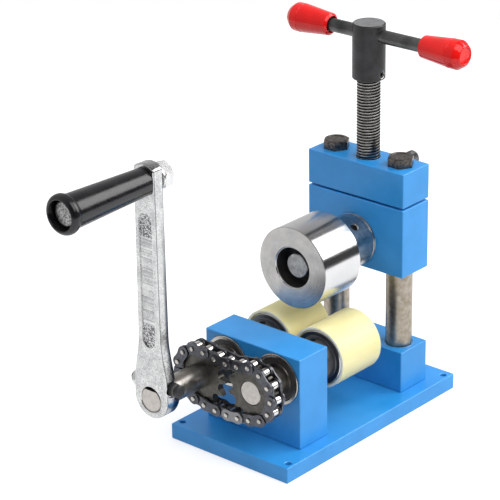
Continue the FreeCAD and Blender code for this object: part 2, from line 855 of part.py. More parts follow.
bevel(arm, blank, "arm_edge", along_outline)
sketch = new_sketch(arm, "XZ_Plane", "-arm_edge")
draw_circle(sketch, "boss_diameter", "0", "boss_rise")
pad(arm, sketch, "boss_depth - arm_edge", reverse=True)
sketch = new_sketch(arm, "XZ_Plane")
draw_rectangle(sketch, "-flute_width / 2", "flute_start", "flute_width / 2", "flute_end")
cut(arm, sketch, "flute_depth")
for end in ("flute_start", "flute_end"):
    sketch = new_sketch(arm, "XZ_Plane")
    draw_outline(sketch, facet_points("flute_width", 16, "0", end))
    cut(arm, sketch, "flute_depth")
sketch = new_sketch(arm, "XZ_Plane")
draw_circle(sketch, "shaft_diameter")
draw_circle(sketch, "grip_bolt", "0", "crank_length")
cut(arm, sketch)
COTTER_Z = "shaft_diameter / 2 - flat_depth + cotter_diameter / 2"
sketch = new_sketch(arm, "YZ_Plane")
draw_thread(sketch, "cotter_diameter", "cotter_inset", COTTER_Z)
cut(arm, sketch)
for reach, way in (("cotter_seat", False), ("cotter_nut_seat", True)):
    sketch = new_sketch(arm, "YZ_Plane", reach if way is False else f"-{reach}")
    draw_thread(sketch, "cotter_spot", "cotter_inset", COTTER_Z)
    cut(arm, sketch, "boss_diameter / 2", reverse=not way)

cotter = new_body("crank_cotter_bolt", "-roll_spacing / 2", "crank_face", "roll_axis")
sketch = new_sketch(cotter, "YZ_Plane", "cotter_seat")
draw_circle(sketch, "cotter_head", "cotter_inset", COTTER_Z)
pad(cotter, sketch, "cotter_head_length")
sketch = new_sketch(cotter, "YZ_Plane", "cotter_seat")
draw_thread(sketch, "cotter_diameter", "cotter_inset", COTTER_Z)
pad(cotter, sketch, "cotter_seat + cotter_nut_seat + cotter_nut + cotter_end", reverse=True)
nut = new_body("crank_cotter_nut", "-roll_spacing / 2", "crank_face", "roll_axis")
sketch = new_sketch(nut, "YZ_Plane", "-cotter_nut_seat")
draw_hexagon(sketch, "cotter_nut_flats", "cotter_inset", COTTER_Z)
draw_thread(sketch, "cotter_diameter", "cotter_inset", COTTER_Z)
pad(nut, sketch, "cotter_nut", reverse=True)

# ---------------------------------------------------------------- grip and its bolt
GRIP_AT = ("-roll_spacing / 2", "crank_face", "roll_axis + crank_length")
GRIP_END = "-(grip_gap + grip_length)"
FLANGE = f"({GRIP_END} + grip_flange_width)"
MOUTH = f"({GRIP_END} + grip_mouth_depth)"
turned_body(
    "crank_grip",
    [
        ("grip_bolt / 2 + running_play", "-grip_gap"),
        ("grip_root / 2", "-grip_gap"),
        ("grip_swell / 2", FLANGE),
        ("grip_flange / 2", f"{FLANGE} - grip_flange_slope"),
        ("grip_flange / 2", f"{GRIP_END} + grip_flange_round"),
        ("grip_flange / 2 - grip_flange_round", GRIP_END),
        ("grip_mouth / 2", GRIP_END),
        ("grip_mouth / 2", MOUTH),
        ("grip_bolt / 2 + running_play", MOUTH),
    ],
    *GRIP_AT,
)
bolt = new_body("grip_bolt", *GRIP_AT)
HEAD_SEAT = f"({MOUTH} - grip_gap)"
sketch = new_sketch(bolt, "XZ_Plane", f"-{HEAD_SEAT}")
draw_circle(sketch, "grip_bolt_cap")
pad(bolt, sketch, "grip_bolt_head")
sketch = new_sketch(bolt, "XZ_Plane", f"-{HEAD_SEAT}")
draw_circle(sketch, "grip_bolt")
stack = "arm_thick + grip_washer_thick + grip_nut + grip_bolt_end"
pad(bolt, sketch, f"{stack} - {HEAD_SEAT}", reverse=True)
washer = new_body("grip_bolt_washer", *GRIP_AT)
sketch = new_sketch(washer, "XZ_Plane", "-arm_thick")
draw_circle(sketch, "grip_washer")
draw_thread(sketch, "grip_washer_bore")
pad(washer, sketch, "grip_washer_thick", reverse=True)
nut = new_body("grip_bolt_nut", *GRIP_AT)
sketch = new_sketch(nut, "XZ_Plane", "-(arm_thick + grip_washer_thick)")
draw_hexagon(sketch, "grip_nut_flats")
draw_thread(sketch, "grip_washer_bore")
pad(nut, sketch, "grip_nut", reverse=True)

# ---------------------------------------------------------------- sliding head
head = painted_bar("sliding_head", "frame_y", "head_base", "head_height")
sketch = new_sketch(head, "XY_Plane")
for side in ("-", ""):
    draw_circle(sketch, "post_diameter + 2 * running_play", f"{side}post_spacing / 2")
cut(head, sketch)
sketch = new_sketch(head, "XZ_Plane")
draw_circle(sketch, "bearing_outer", "0", "upper_axis - head_base")
cut(head, sketch)
sketch = new_sketch(head, "XY_Plane", "head_height")
draw_circle(sketch, "washer_seat")
cut(head, sketch, "washer_sink")
WASHER_TOP = "(head_base + head_height - washer_sink + washer_thick)"
SCREW_FOOT = f"({WASHER_TOP} + running_play - journal_length)"
sketch = new_sketch(head, "XY_Plane", "head_height")
draw_circle(sketch, "journal_diameter + 2 * running_play")
cut(head, sketch, f"head_base + head_height - {SCREW_FOOT} + journal_play")
KEEPER_Z = f"({SCREW_FOOT} + neck_start + neck_height / 2)"
KEEPER_TIP = "(journal_neck / 2 + journal_play)"
sketch = new_sketch(head, "XZ_Plane", "-bar_depth / 2")
draw_thread(sketch, "grub", "0", f"{KEEPER_Z} - head_base")
cut(head, sketch, "bar_depth / 2", reverse=True)
KEEPER_STEP = f"({KEEPER_TIP} + keeper_tip_length)"
keeper = new_body("screw_keeper", "0", "frame_y", KEEPER_Z)
sketch = new_sketch(keeper, "XZ_Plane", f"-{KEEPER_TIP}")
draw_thread(sketch, "keeper_tip")
pad(keeper, sketch, "keeper_tip_length", reverse=True)
sketch = new_sketch(keeper, "XZ_Plane", f"-{KEEPER_STEP}")
draw_thread(sketch, "grub")
pad(keeper, sketch, "grub_depth", reverse=True)
turned_body(
    "thrust_washer",
    [
        ("washer_bore / 2", "0"),
        ("washer_outer / 2", "0"),
        ("washer_outer / 2", "washer_thick"),
        ("washer_bore / 2", "washer_thick"),
    ],
    "0",
    "frame_y",
    "head_base + head_height - washer_sink",
    "XZ_Plane",
)

# ---------------------------------------------------------------- upper roll
UPPER_END = "roll_front + upper_length"
TILT = FreeCAD.Rotation(FreeCAD.Vector(0, 1, 0), SIZES["upper_hub_screw_tilt"])
roller = turned_body(
    "upper_roller",
    [
        ("shaft_diameter / 2", "roll_front + upper_mouth_depth"),
        ("upper_mouth / 2", "roll_front + upper_mouth_depth"),
        ("upper_mouth / 2", "roll_front"),
        ("upper_diameter / 2 - upper_chamfer", "roll_front"),
        ("upper_diameter / 2", "roll_front + upper_chamfer"),
        ("upper_diameter / 2", f"{UPPER_END} - upper_chamfer"),
        ("upper_diameter / 2 - upper_chamfer", UPPER_END),
        ("upper_hub / 2", UPPER_END),
        ("upper_hub / 2", f"{HEAD_FRONT} - hub_gap"),
        ("shaft_diameter / 2", f"{HEAD_FRONT} - hub_gap"),
    ],
    "0",
    "0",
    "upper_axis",
)
sketch = new_sketch(roller, "XY_Plane")
sketch.AttachmentOffset = FreeCAD.Placement(FreeCAD.Vector(), TILT)
UPPER_GRUB_Y = f"({UPPER_END} + {HEAD_FRONT}) / 2 + upper_hub_screw"
draw_circle(sketch, "grub", "0", UPPER_GRUB_Y)
cut(roller, sketch, "upper_hub", reverse=True)
grub_screw(
    "upper_roll_grub_screw",
    "0",
    UPPER_GRUB_Y,
    "upper_axis",
    "shaft_diameter / 2",
    SIZES["upper_hub_screw_tilt"],
)
turned_body(
    "upper_roll_shaft",
    [
        ("0", "roll_front + upper_shaft_inset"),
        ("shaft_diameter / 2 - shaft_chamfer", "roll_front + upper_shaft_inset"),
        ("shaft_diameter / 2", "roll_front + upper_shaft_inset + shaft_chamfer"),
        ("shaft_diameter / 2", f"{HEAD_BACK} + shaft_tail"),
        ("0", f"{HEAD_BACK} + shaft_tail"),
    ],
    "0",
    "0",
    "upper_axis",
)

# ---------------------------------------------------------------- lead screw and tee handle
HUB_FLOOR = f"(tee_hub_base + tee_hub_socket - {SCREW_FOOT})"
journal = "journal_diameter / 2"
neck = "journal_neck / 2"
turned_body(
    "lead_screw",
    [
        ("0", "0"),
        (journal, "0"),
        (journal, "neck_start"),
        (neck, "neck_start"),
        (neck, "neck_start + neck_height"),
        (journal, "neck_start + neck_height"),
        (journal, "journal_length"),
        ("lead_screw / 2", "journal_length"),
        ("lead_screw / 2", HUB_FLOOR),
        ("0", HUB_FLOOR),
    ],
    "0",
    "frame_y",
    SCREW_FOOT,
    "XZ_Plane",
)
tee = turned_body(
    "tee_hub",
    [
        ("lead_screw / 2", "0"),
        ("tee_hub / 2", "0"),
        ("tee_hub / 2", "tee_hub_height - tee_hub_edge"),
        ("tee_hub / 2 - tee_hub_edge", "tee_hub_height"),
        ("0", "tee_hub_height"),
        ("0", "tee_hub_socket"),
        ("lead_screw / 2", "tee_hub_socket"),
    ],
    "0",
    "frame_y",
    "tee_hub_base",
    "XZ_Plane",
)
sketch = new_sketch(tee, "YZ_Plane")
draw_circle(sketch, "tommy_bar + 2 * running_play", "0", "tommy_bar_z - tee_hub_base")
cut(tee, sketch)
sketch = new_sketch(tee, "YZ_Plane")
draw_thread(sketch, "grub", "0", "tee_grub_z - tee_hub_base")
cut(tee, sketch, "tee_hub", reverse=True)
grub = new_body("tee_hub_grub_screw", "0", "frame_y", "tee_grub_z")
sketch = new_sketch(grub, "YZ_Plane", "lead_screw / 2")
draw_thread(sketch, "grub")
pad(grub, sketch, "tee_grub")

BAR_AT = ("tommy_bar_shift", "frame_y", "tommy_bar_z")
BAR_END = "(knob_gap / 2 + knob_socket)"
bar_radius = "tommy_bar / 2"
turned_body(
    "tommy_bar",
    [
        (f"-{BAR_END}", "0"),
        (f"-{BAR_END}", bar_radius),
        (BAR_END, bar_radius),
        (BAR_END, "0"),
    ],
    *BAR_AT,
    axis="H_Axis",
)
for word, side in (("left", "-"), ("right", "")):
    profile = [
        ("0", bar_radius),
        ("0", "knob_mouth / 2"),
        ("knob_edge", "knob_neck / 2"),
        ("knob_taper_length", "knob_shoulder / 2"),
        ("knob_length - knob_nose_length", "knob_shoulder / 2"),
        ("knob_length", "knob_nose / 2"),
        ("knob_length", "0"),
        ("knob_socket", "0"),
        ("knob_socket", bar_radius),
    ]
    outline = [(f"{side}(knob_gap / 2 + {along})", radius) for along, radius in profile]
    turned_body(f"{word}_knob", outline, *BAR_AT, axis="H_Axis")

# ---------------------------------------------------------------- lock screw
turned_body(
    "lock_screw",
    [
        ("0", "lead_screw / 2 + lock_tip_gap"),
        ("lock_screw / 2", "lead_screw / 2 + lock_tip_gap"),
        ("lock_screw / 2", "bar_depth / 2 + lock_stand_off"),
        ("lock_head / 2", "bar_depth / 2 + lock_stand_off"),
        ("lock_head / 2", "bar_depth / 2 + lock_stand_off + lock_head_length"),
        ("0", "bar_depth / 2 + lock_stand_off + lock_head_length"),
    ],
    "0",
    "frame_y",
    "lock_z",
)

# ---------------------------------------------------------------- checks and export
document.recompute()
failed = []
for item in document.Objects:
    if "Invalid" in item.State or "Error" in item.State:
        failed.append(f"{item.Name} did not recompute")
for part in PARTS:
    part.Label = part.Name
    if part.Shape.isNull() or not part.Shape.isValid() or not part.Shape.Solids:
        failed.append(f"{part.Name} has no valid solid")
if failed:
    raise RuntimeError("; ".join(failed))
os.makedirs("parts", exist_ok=True)
for part in PARTS:
    part.Shape.exportStep(f"parts/{part.Label}.step")
print(f"{len(PARTS)} parts written")
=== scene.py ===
# %% [markdown]
# # Dressing a hand-cranked bangle bender
# The machine bends wire and strip between one steel roll and two padded rolls. Its solids come
# ready made, each in its place, and every joint turns about them. This lesson gives each piece
# the roundings, threads, teeth and finishes of the real one, and leaves its place alone.

# %% Load the solids as a fixed frame
import math

import bmesh
import bpy
from mathutils import Matrix, Vector


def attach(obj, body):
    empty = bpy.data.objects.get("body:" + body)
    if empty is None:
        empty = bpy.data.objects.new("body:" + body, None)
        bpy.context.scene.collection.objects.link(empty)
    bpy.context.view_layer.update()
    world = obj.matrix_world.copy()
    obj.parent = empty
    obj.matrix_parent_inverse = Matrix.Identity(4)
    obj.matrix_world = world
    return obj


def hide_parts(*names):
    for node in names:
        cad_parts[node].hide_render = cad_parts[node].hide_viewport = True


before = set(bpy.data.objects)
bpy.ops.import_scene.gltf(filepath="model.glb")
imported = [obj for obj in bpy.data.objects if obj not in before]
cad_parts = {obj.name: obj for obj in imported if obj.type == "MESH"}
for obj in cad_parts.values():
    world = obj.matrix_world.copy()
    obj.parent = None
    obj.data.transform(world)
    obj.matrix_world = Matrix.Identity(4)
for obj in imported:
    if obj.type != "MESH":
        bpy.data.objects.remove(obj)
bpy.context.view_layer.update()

# %% [markdown]
# ## Working in millimetres
# Machine drawings are in millimetres and Blender's frame here is in metres. Each mesh is
# therefore drawn in millimetres, in the machine's own frame, and shrunk once when it is done.
# The origin is the centre of the base plate's underside. +X is right, +Y is back and +Z is up.

# %% Plain view of the colours
bpy.context.scene.view_settings.view_transform = "Standard"
print("colours are shown as they are written")

# %% The main places on the machine
LEFT_X, RIGHT_X = -21.25, 21.25
LOWER_Z, UPPER_Z = 56.0, 114.0
BLOCK_Y, FRAME_Y = -50.0, 56.0
CHAIN_Y, CRANK_Y = -87.6, -137.0
EYE_Z = LOWER_Z + 147.5
AXES = {"X": Vector((1, 0, 0)), "Y": Vector((0, 1, 0)), "Z": Vector((0, 0, 1))}
SIDEWAYS = {"X": Vector((0, 0, 1)), "Y": Vector((1, 0, 0)), "Z": Vector((1, 0, 0))}
print("rolls", RIGHT_X - LEFT_X, "mm apart, upper roll", UPPER_Z - LOWER_Z, "mm above them")

# %% [markdown]
# ## Turned pieces
# Rolls, shafts, bearings and knobs all come off a lathe. A lathe is the spin operator: half
# of a section is drawn as a line of points, and one full spin sweeps it round the axis. The
# seam is merged, and points on the axis fall together into a closed pole. A plain bar and the
# hole that a drill leaves have the simplest outline of all, so they get a helper of their own.

# %% A lathe
def tidy(sheet):
    """Closes seams and poles and turns every face outwards."""
    bmesh.ops.remove_doubles(sheet, verts=sheet.verts, dist=0.0005)
    bmesh.ops.recalc_face_normals(sheet, faces=sheet.faces)


def turned(outline, centre, axis="Y", closed=False, steps=96):
    """Spins an outline of (along, radius) pairs once round an axis through the centre.

    An open outline is led straight to the axis at both ends. A closed one is a ring.
    """
    sheet, centre = bmesh.new(), Vector(centre)
    along, out = AXES[axis], SIDEWAYS[axis]
    if not closed:
        outline = [(outline[0][0], 0), *outline, (outline[-1][0], 0)]
    points = [sheet.verts.new(centre + along * far + out * wide) for far, wide in outline]
    pairs = list(zip(points, points[1:])) + ([(points[-1], points[0])] if closed else [])
    lines = [sheet.edges.new(pair) for pair in pairs]
    bmesh.ops.spin(
        sheet, geom=points + lines, cent=centre, axis=along, dvec=(0, 0, 0),
        angle=2 * math.pi, steps=steps, space=Matrix(), use_merge=True,
        use_normal_flip=False, use_duplicate=False,
    )
    tidy(sheet)
    return sheet


def rod(diameter, start, end, centre, axis, steps=64):
    """A plain round bar between two places along an axis, or the hole that a drill leaves."""
    return turned([(start, diameter / 2), (end, diameter / 2)], centre, axis, steps=steps)


print("lathe ready")

# %% [markdown]
# ## Broken edges
# No machined edge is perfectly sharp. A small bevel catches a line of light, which is what
# makes metal look like metal. The helper finds the edges by the angle between their faces, so
# one call does for a whole piece.

# %% Bevel and join
def soften(sheet, width, above=35.0, segments=2, chosen=None):
    """Rounds the edges whose faces meet at more than the angle and, if a test is given, that it
    picks.
    """
    tidy(sheet)
    limit = math.radians(above)
    edges = [
        edge for edge in sheet.edges if edge.is_manifold and edge.calc_face_angle(0.0) > limit
        and (chosen is None or chosen(edge))
    ]
    bmesh.ops.bevel(
        sheet, geom=edges, offset=width, offset_type="OFFSET", segments=segments,
        profile=0.5, affect="EDGES", clamp_overlap=True, material=-1,
    )
    return sheet


def as_mesh(sheet, name="scratch"):
    """Turns a working mesh into a stored one and lets the working one go."""
    mesh = bpy.data.meshes.new(name)
    sheet.to_mesh(mesh)
    sheet.free()
    return mesh


def join(sheet, *others):
    """Adds other working meshes to a sheet."""
    for other in others:
        mesh = as_mesh(other)
        sheet.from_mesh(mesh)
        bpy.data.meshes.remove(mesh)
    return sheet


print("edges and joins ready")

# %% [markdown]
# A hole is a tool's shape taken away, which is a boolean. Its exact solver copes with faces
# that touch. The modifier needs two objects, so both meshes become objects for a moment.

# %% Cut
def cut_with(sheet, tool, operation="DIFFERENCE"):
    """Cuts a sheet with a tool's shape through an exact boolean, and returns the result."""
    tidy(sheet)
    tidy(tool)
    work = bpy.data.objects.new("work", as_mesh(sheet))
    cutter = bpy.data.objects.new("cutter", as_mesh(tool))
    for thing in (work, cutter):
        bpy.context.scene.collection.objects.link(thing)
    step = work.modifiers.new("cut", "BOOLEAN")
    step.object, step.operation, step.solver = cutter, operation, "EXACT"
    step.material_mode = "TRANSFER"
    graph = bpy.context.evaluated_depsgraph_get()
    done = bpy.data.meshes.new_from_object(work.evaluated_get(graph))
    result = bmesh.new()
    result.from_mesh(done)
    for mesh in (work.data, cutter.data, done):
        bpy.data.meshes.remove(mesh)
    return result


print("cuts ready")

# %% [markdown]
# Link plates, tooth gaps and the crank's flute are flat shapes with round ends. Each starts as
# a circle or two, a hull goes round them, and the flat piece is pulled out along Y.

# %% Flat shapes
def shift(sheet, way, verts=None):
    """Moves a whole sheet, or some of its points."""
    bmesh.ops.translate(sheet, vec=way, verts=sheet.verts if verts is None else verts)


def swing(sheet, degrees, centre=(0, 0, 0), axis="Y"):
    """Turns a whole sheet about an axis through a centre."""
    turn = Matrix.Rotation(math.radians(degrees), 3, axis)
    bmesh.ops.rotate(sheet, cent=centre, matrix=turn, verts=sheet.verts)


def circle(sheet, radius, segments, x=0.0, z=0.0):
    """Adds a circle in the front plane."""
    place = Matrix.Translation((x, 0, z)) @ Matrix.Rotation(math.radians(90), 4, "X")
    bmesh.ops.create_circle(sheet, cap_ends=False, radius=radius, segments=segments, matrix=place)


def hull(sheet):
    """Fills the flat outline round all of a sheet's points and clears the points inside it."""
    bmesh.ops.convex_hull(sheet, input=sheet.verts)
    loose = [vert for vert in sheet.verts if not vert.link_faces]
    bmesh.ops.delete(sheet, geom=loose, context="VERTS")
    bmesh.ops.dissolve_limit(sheet, angle_limit=0.01, verts=sheet.verts, edges=sheet.edges)


def thicken(sheet, depth):
    """Pulls a flat shape out along Y and gives back the points of its far side."""
    grown = bmesh.ops.extrude_face_region(sheet, geom=sheet.faces[:])
    far = [item for item in grown["geom"] if isinstance(item, bmesh.types.BMVert)]
    shift(sheet, (0, depth, 0), far)
    return far


print("flat shapes ready")

# %% [markdown]
# ## Handing a piece over
# A finished piece sits at the origin with its place in its mesh. It says which solids it
# stands for and which body carries it.
# Weighted normals keep the flats flat and shade only the small bevels smoothly. MADE keeps the
# number of faces in each piece, for a count at the end.

# %% Settle a piece in its place
MADE = []


def settle(name, sheet, body, node, slot, *finishes, smooth=38.0):
    """Shrinks a sheet to metres, stores it and gives it to its body."""
    tidy(sheet)
    bmesh.ops.scale(sheet, vec=(0.001, 0.001, 0.001), verts=sheet.verts)
    mesh = as_mesh(sheet, name)
    piece = bpy.data.objects.new(name, mesh)
    bpy.context.scene.collection.objects.link(piece)
    for finish in finishes:
        mesh.materials.append(finish)
    mesh.shade_smooth()
    mesh.set_sharp_from_angle(angle=math.radians(smooth))
    flats = piece.modifiers.new("flats", "WEIGHTED_NORMAL")
    flats.keep_sharp = True
    flats.weight = 60
    shaded = piece.evaluated_get(bpy.context.evaluated_depsgraph_get())
    piece.data = bpy.data.meshes.new_from_object(shaded)
    piece.modifiers.clear()
    bpy.data.meshes.remove(mesh)
    piece.data.name = name
    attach(piece, body)
    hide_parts(node)
    MADE.append(len(piece.data.polygons))
    print(f"{name}: {MADE[-1]} faces, stands for {node}")

# %% [markdown]
# ## How a finish is made
# Every finish is one shader with three kinds of detail on it. Broad mottling changes the
# colour and the roughness, and fine grain makes the bump. An edge mask lightens the edges, for
# wear, and on some finishes as a painted edge highlight as well. The mask compares the true
# normal with one that a Bevel node has smoothed: they differ only near an edge. All the
# patterns read object coordinates, so they stay on the piece when it moves.

# %% Helpers for any node tree
class Nodes:
    """A node tree with short ways to add nodes and to link them."""

    def __init__(self, tree):
        self.tree = tree

    def node(self, kind, **settings):
        made = self.tree.nodes.new("ShaderNode" + kind)
        for key, value in settings.items():
            setattr(made, key, value)
        return made

    def feed(self, socket, source):
        """Links an output to a socket, or sets the socket to a plain value."""
        if hasattr(source, "is_output"):
            self.tree.links.new(source, socket)
        else:
            socket.default_value = source

    def fed(self, kind, *sources, **settings):
        """The first output of a new node whose sockets are fed in their order."""
        made = self.node(kind, **settings)
        for socket, source in zip(made.inputs, sources):
            self.feed(socket, source)
        return made.outputs[0]

    def sum(self, operation, first, second=0.0):
        return self.fed("Math", first, second, operation=operation)

    def times(self, first, second):
        return self.sum("MULTIPLY", first, second)

    def between(self, source, low, high, new_low=0.0, new_high=1.0):
        return self.fed("MapRange", source, low, high, new_low, new_high)


print("node helpers ready")

# %% Patterns on a piece
class Patterns(Nodes):
    """Patterns that stay on the piece, with their lengths in millimetres."""

    def __init__(self, tree):
        super().__init__(tree)
        self.place = self.node("TexCoord").outputs["Object"]

    def mapped(self, scale=(1, 1, 1), centre=(0, 0, 0)):
        """Object coordinates in millimetres from a centre, stretched by a scale."""
        moved = self.node("Mapping", vector_type="POINT")
        self.feed(moved.inputs["Vector"], self.place)
        moved.inputs["Scale"].default_value = [1000 * part for part in scale]
        moved.inputs["Location"].default_value = [-c * s for c, s in zip(centre, scale)]
        return moved.outputs["Vector"]

    def rings(self, centre, axis, along=1.0):
        """Coordinates that change only with the distance from an axis and along it."""
        parts = self.node("SeparateXYZ")
        self.feed(parts.inputs[0], self.mapped(centre=centre))
        others = [parts.outputs[letter] for letter in "XYZ" if letter != axis]
        radius = self.sum("SQRT", self.sum("ADD", *[self.times(part, part) for part in others]))
        return self.fed("CombineXYZ", radius, self.times(parts.outputs[axis], along))

    def noise(self, scale, vector=None, detail=3.0, rough=0.55):
        """Noise whose scale counts lumps per millimetre."""
        made = self.node("TexNoise")
        self.feed(made.inputs["Vector"], vector or self.mapped())
        made.inputs["Scale"].default_value = scale
        made.inputs["Detail"].default_value = detail
        made.inputs["Roughness"].default_value = rough
        return made.outputs["Fac"]

    def edges(self, radius):
        """A mask that is 1 near the edges of the piece; the radius is in millimetres."""
        rounded = self.node("Bevel", samples=6)
        rounded.inputs["Radius"].default_value = radius / 1000
        true = self.node("NewGeometry").outputs["True Normal"]
        alike = self.node("VectorMath", operation="DOT_PRODUCT")
        self.feed(alike.inputs[0], rounded.outputs[0])
        self.feed(alike.inputs[1], true)
        return self.between(self.sum("SUBTRACT", 1.0, alike.outputs["Value"]), 0.02, 0.25)


print("patterns ready")

# %% [markdown]
# A finish lays such patterns over one another: tones blended by masks, a bump for each kind of
# mark, and a roughness that wanders. At the end it plugs them into its shader.

# %% A finish
class Finish(Patterns):
    """A material under construction, with its node tree and its main shader."""

    def __init__(self, name, colour, metallic, roughness, **sockets):
        self.material = bpy.data.materials.new(name)
        self.material.use_nodes = True
        super().__init__(self.material.node_tree)
        self.shader = self.tree.nodes["Principled BSDF"]
        self.set(Base_Color=(*colour, 1), Metallic=metallic, Roughness=roughness, **sockets)

    def set(self, **sockets):
        """Sets sockets of the main shader by their names."""
        for socket, value in sockets.items():
            self.shader.inputs[socket.replace("_", " ")].default_value = value

    def blend(self, factor, first, second):
        made = self.node("Mix", data_type="RGBA")
        self.feed(made.inputs["Factor"], factor)
        for socket, colour in zip(made.inputs[6:8], (first, second)):
            self.feed(socket, colour if hasattr(colour, "is_output") else (*colour, 1))
        return made.outputs[2]

    def bump(self, height, strength, depth=0.05, below=None):
        """Adds a bump whose full depth is in millimetres, on top of an earlier one."""
        made = self.node("Bump")
        made.inputs["Strength"].default_value = strength
        made.inputs["Distance"].default_value = depth / 1000
        self.feed(made.inputs["Height"], height)
        if below is not None:
            self.feed(made.inputs["Normal"], below)
        return made.outputs[0]

    def brushed(self, amount):
        """Stretches every highlight across the fine rings that a lathe leaves about Y."""
        way = self.node("Tangent", direction_type="RADIAL", axis="Y")
        self.feed(self.shader.inputs["Tangent"], way.outputs[0])
        self.set(Anisotropic=amount, Anisotropic_Rotation=0.25)

    def wear(self, colour, roughness, normal):
        """Plugs the finished colour, roughness and normal into the shader."""
        finished = {"Base Color": colour, "Roughness": roughness, "Normal": normal}
        for socket, source in finished.items():
            self.feed(self.shader.inputs[socket], source)
        return self.material


print("finish helpers ready")

# %% [markdown]
# ## Azure paint
# The frame's bars are dipped or sprayed in an azure enamel with a satin shine. A faint orange
# peel and a slow drift of colour keep large flats from looking like plastic. Each edge is
# painted paler: the paint is thin where it pulls back from the edge, and there is a painted
# highlight along it as well.

# %% Paint for the bars
def azure_paint():
    paint = Finish("azure_enamel", (0.028, 0.275, 0.66), 0.0, 0.34)
    drift = paint.noise(0.035, detail=4)
    specks = paint.noise(1.1, detail=2)
    tone = paint.blend(paint.between(drift, 0.35, 0.65), (0.020, 0.25, 0.62), (0.036, 0.295, 0.71))
    tone = paint.blend(paint.between(specks, 0.62, 0.8, 0, 0.25), tone, (0.07, 0.40, 0.85))
    # paler edges: paint worn thin there, and a painted highlight along each edge as well
    worn = paint.times(paint.edges(0.9), paint.between(paint.noise(0.5), 0.3, 0.6, 0.45, 0.9))
    tone = paint.blend(worn, tone, (0.36, 0.68, 0.97))
    peel = paint.bump(paint.noise(0.9, detail=1), 0.35, 0.02)
    return paint.wear(tone, paint.between(drift, 0.3, 0.7, 0.30, 0.42), peel)


AZURE = azure_paint()
print("made", AZURE.name)

# %% [markdown]
# ## Steels
# The machine shows many steels: ground posts with streaks along them, faces with the rings
# that a lathe tool leaves, polished rolls and black oxide screws. One recipe makes them all. It
# takes a direction for its fine lines, because the marks of a machine tool follow its motion.

# %% A recipe for machined metal
def machined(name, colour, deep, roughness, lines=2.5, strength=0.25, centre=(0, 0, 0), axis=None,
             stretch=(1, 1, 1), metallic=1.0, wear=None, along=1.0, mottle=0.12, spread=0.08,
             depth=0.03, brushed=0.0):
    """Metal with tool marks: rings about an axis, or streaks along a stretched direction."""
    steel = Finish(name, colour, metallic, roughness)
    way = steel.rings(centre, axis, along) if axis else steel.mapped(stretch)
    marks = steel.noise(lines, way, detail=3, rough=0.7)
    cloud = steel.noise(mottle, detail=4)
    tone = steel.blend(steel.between(cloud, 0.35, 0.65), colour, deep)
    dark = [part * 0.72 for part in colour]
    tone = steel.blend(steel.between(marks, 0.5, 0.75, 0, 0.45), tone, dark)
    if wear is not None:
        edge = steel.times(steel.edges(0.5), steel.between(steel.noise(1.2), 0.35, 0.6, 0.3, 0.9))
        tone = steel.blend(edge, tone, wear)
    shine = steel.sum("ADD", roughness - spread, steel.times(marks, 2 * spread))
    if brushed:
        steel.brushed(brushed)
    return steel.wear(tone, shine, steel.bump(marks, strength, depth))


print("recipe for machined metal ready")

# %% Steels that several pieces share
POST = machined("ground_post", (0.44, 0.39, 0.33), (0.30, 0.255, 0.19), 0.36, 1.6, 0.6,
                stretch=(1, 1, 0.10), mottle=0.3)
OXIDE = machined("black_oxide", (0.055, 0.055, 0.058), (0.038, 0.037, 0.037), 0.38, 1.5, 0.2,
                 metallic=0.6, wear=(0.22, 0.22, 0.22))
BOLT = machined("blackened_bolt", (0.16, 0.14, 0.125), (0.035, 0.030, 0.028), 0.34, 0.9, 1.0,
                metallic=0.8, wear=(0.36, 0.33, 0.30), mottle=0.55, depth=0.1)
SHAFT = machined("dark_shaft", (0.46, 0.435, 0.40), (0.27, 0.25, 0.23), 0.36, 1.6, 0.12,
                 stretch=(0.25, 2.0, 0.25), mottle=0.16, spread=0.05)
FACED = machined("faced_shaft_end", (0.60, 0.565, 0.53), (0.50, 0.465, 0.43), 0.44, 2.0, 0.2,
                 mottle=0.4)
ZINC = machined("bright_zinc", (0.80, 0.80, 0.79), (0.66, 0.66, 0.66), 0.26, 1.5, 0.2,
                wear=(0.95, 0.95, 0.95))
print("made", ", ".join(m.name for m in (POST, OXIDE, BOLT, SHAFT, FACED, ZINC)))

# %% [markdown]
# ## Bars and plates
# The frame is five painted bars. Each starts as a cube, is stretched to its size, and has all
# its edges rounded before any hole is cut, as a shop would file it before drilling.

# %% Base plate
POST_X, BLOCK_SCREW_X = 27, 30
BENCH_X, BENCH_Y = 45.5, 82.5
BASE_TOP, BAR_HALF = 11, 40
SCREW_ROWS = ((BLOCK_Y, BLOCK_SCREW_X), (FRAME_Y, POST_X))
SCREW_SPOTS = [(x, y) for y, wide in SCREW_ROWS for x in (-wide, wide)]


def bar(low, high, edge=0.7):
    """A block between two corners with its twelve edges rounded."""
    sheet = bmesh.new()
    bmesh.ops.create_cube(sheet, size=1.0)
    low, high = Vector(low), Vector(high)
    bmesh.ops.scale(sheet, vec=high - low, verts=sheet.verts)
    shift(sheet, (low + high) / 2)
    return soften(sheet, edge, segments=3)


def painted(name, node, blank, holes, body="frame"):
    """Drills a painted bar and hands it over."""
    for hole in holes:
        blank = cut_with(blank, hole)
    settle(name, blank, body, node, "blue_paint", AZURE)


bench_hole = [(12, 2.6), (11, 2.6), (10.65, 2.25), (-2, 2.25)]
screw_hole = [(-1, 5.5), (6.8, 5.5), (6.8, 3.3), (12, 3.3)]
holes = bmesh.new()
for x in (-BENCH_X, BENCH_X):
    for y in (-BENCH_Y, BENCH_Y):
        join(holes, turned(bench_hole, (x, y, 0), "Z", steps=40))
for x, y in SCREW_SPOTS:
    join(holes, turned(screw_hole, (x, y, 0), "Z", steps=48))
painted("painted_base", "base_plate", bar((-50, -89, 0), (50, 89, BASE_TOP), 0.8), [holes])

# %% [markdown]
# The block under the crank is bored twice, right through, for the ball bearings of the two
# lower rolls. A broken rim at each mouth shows as the thin pale line round the bearing.

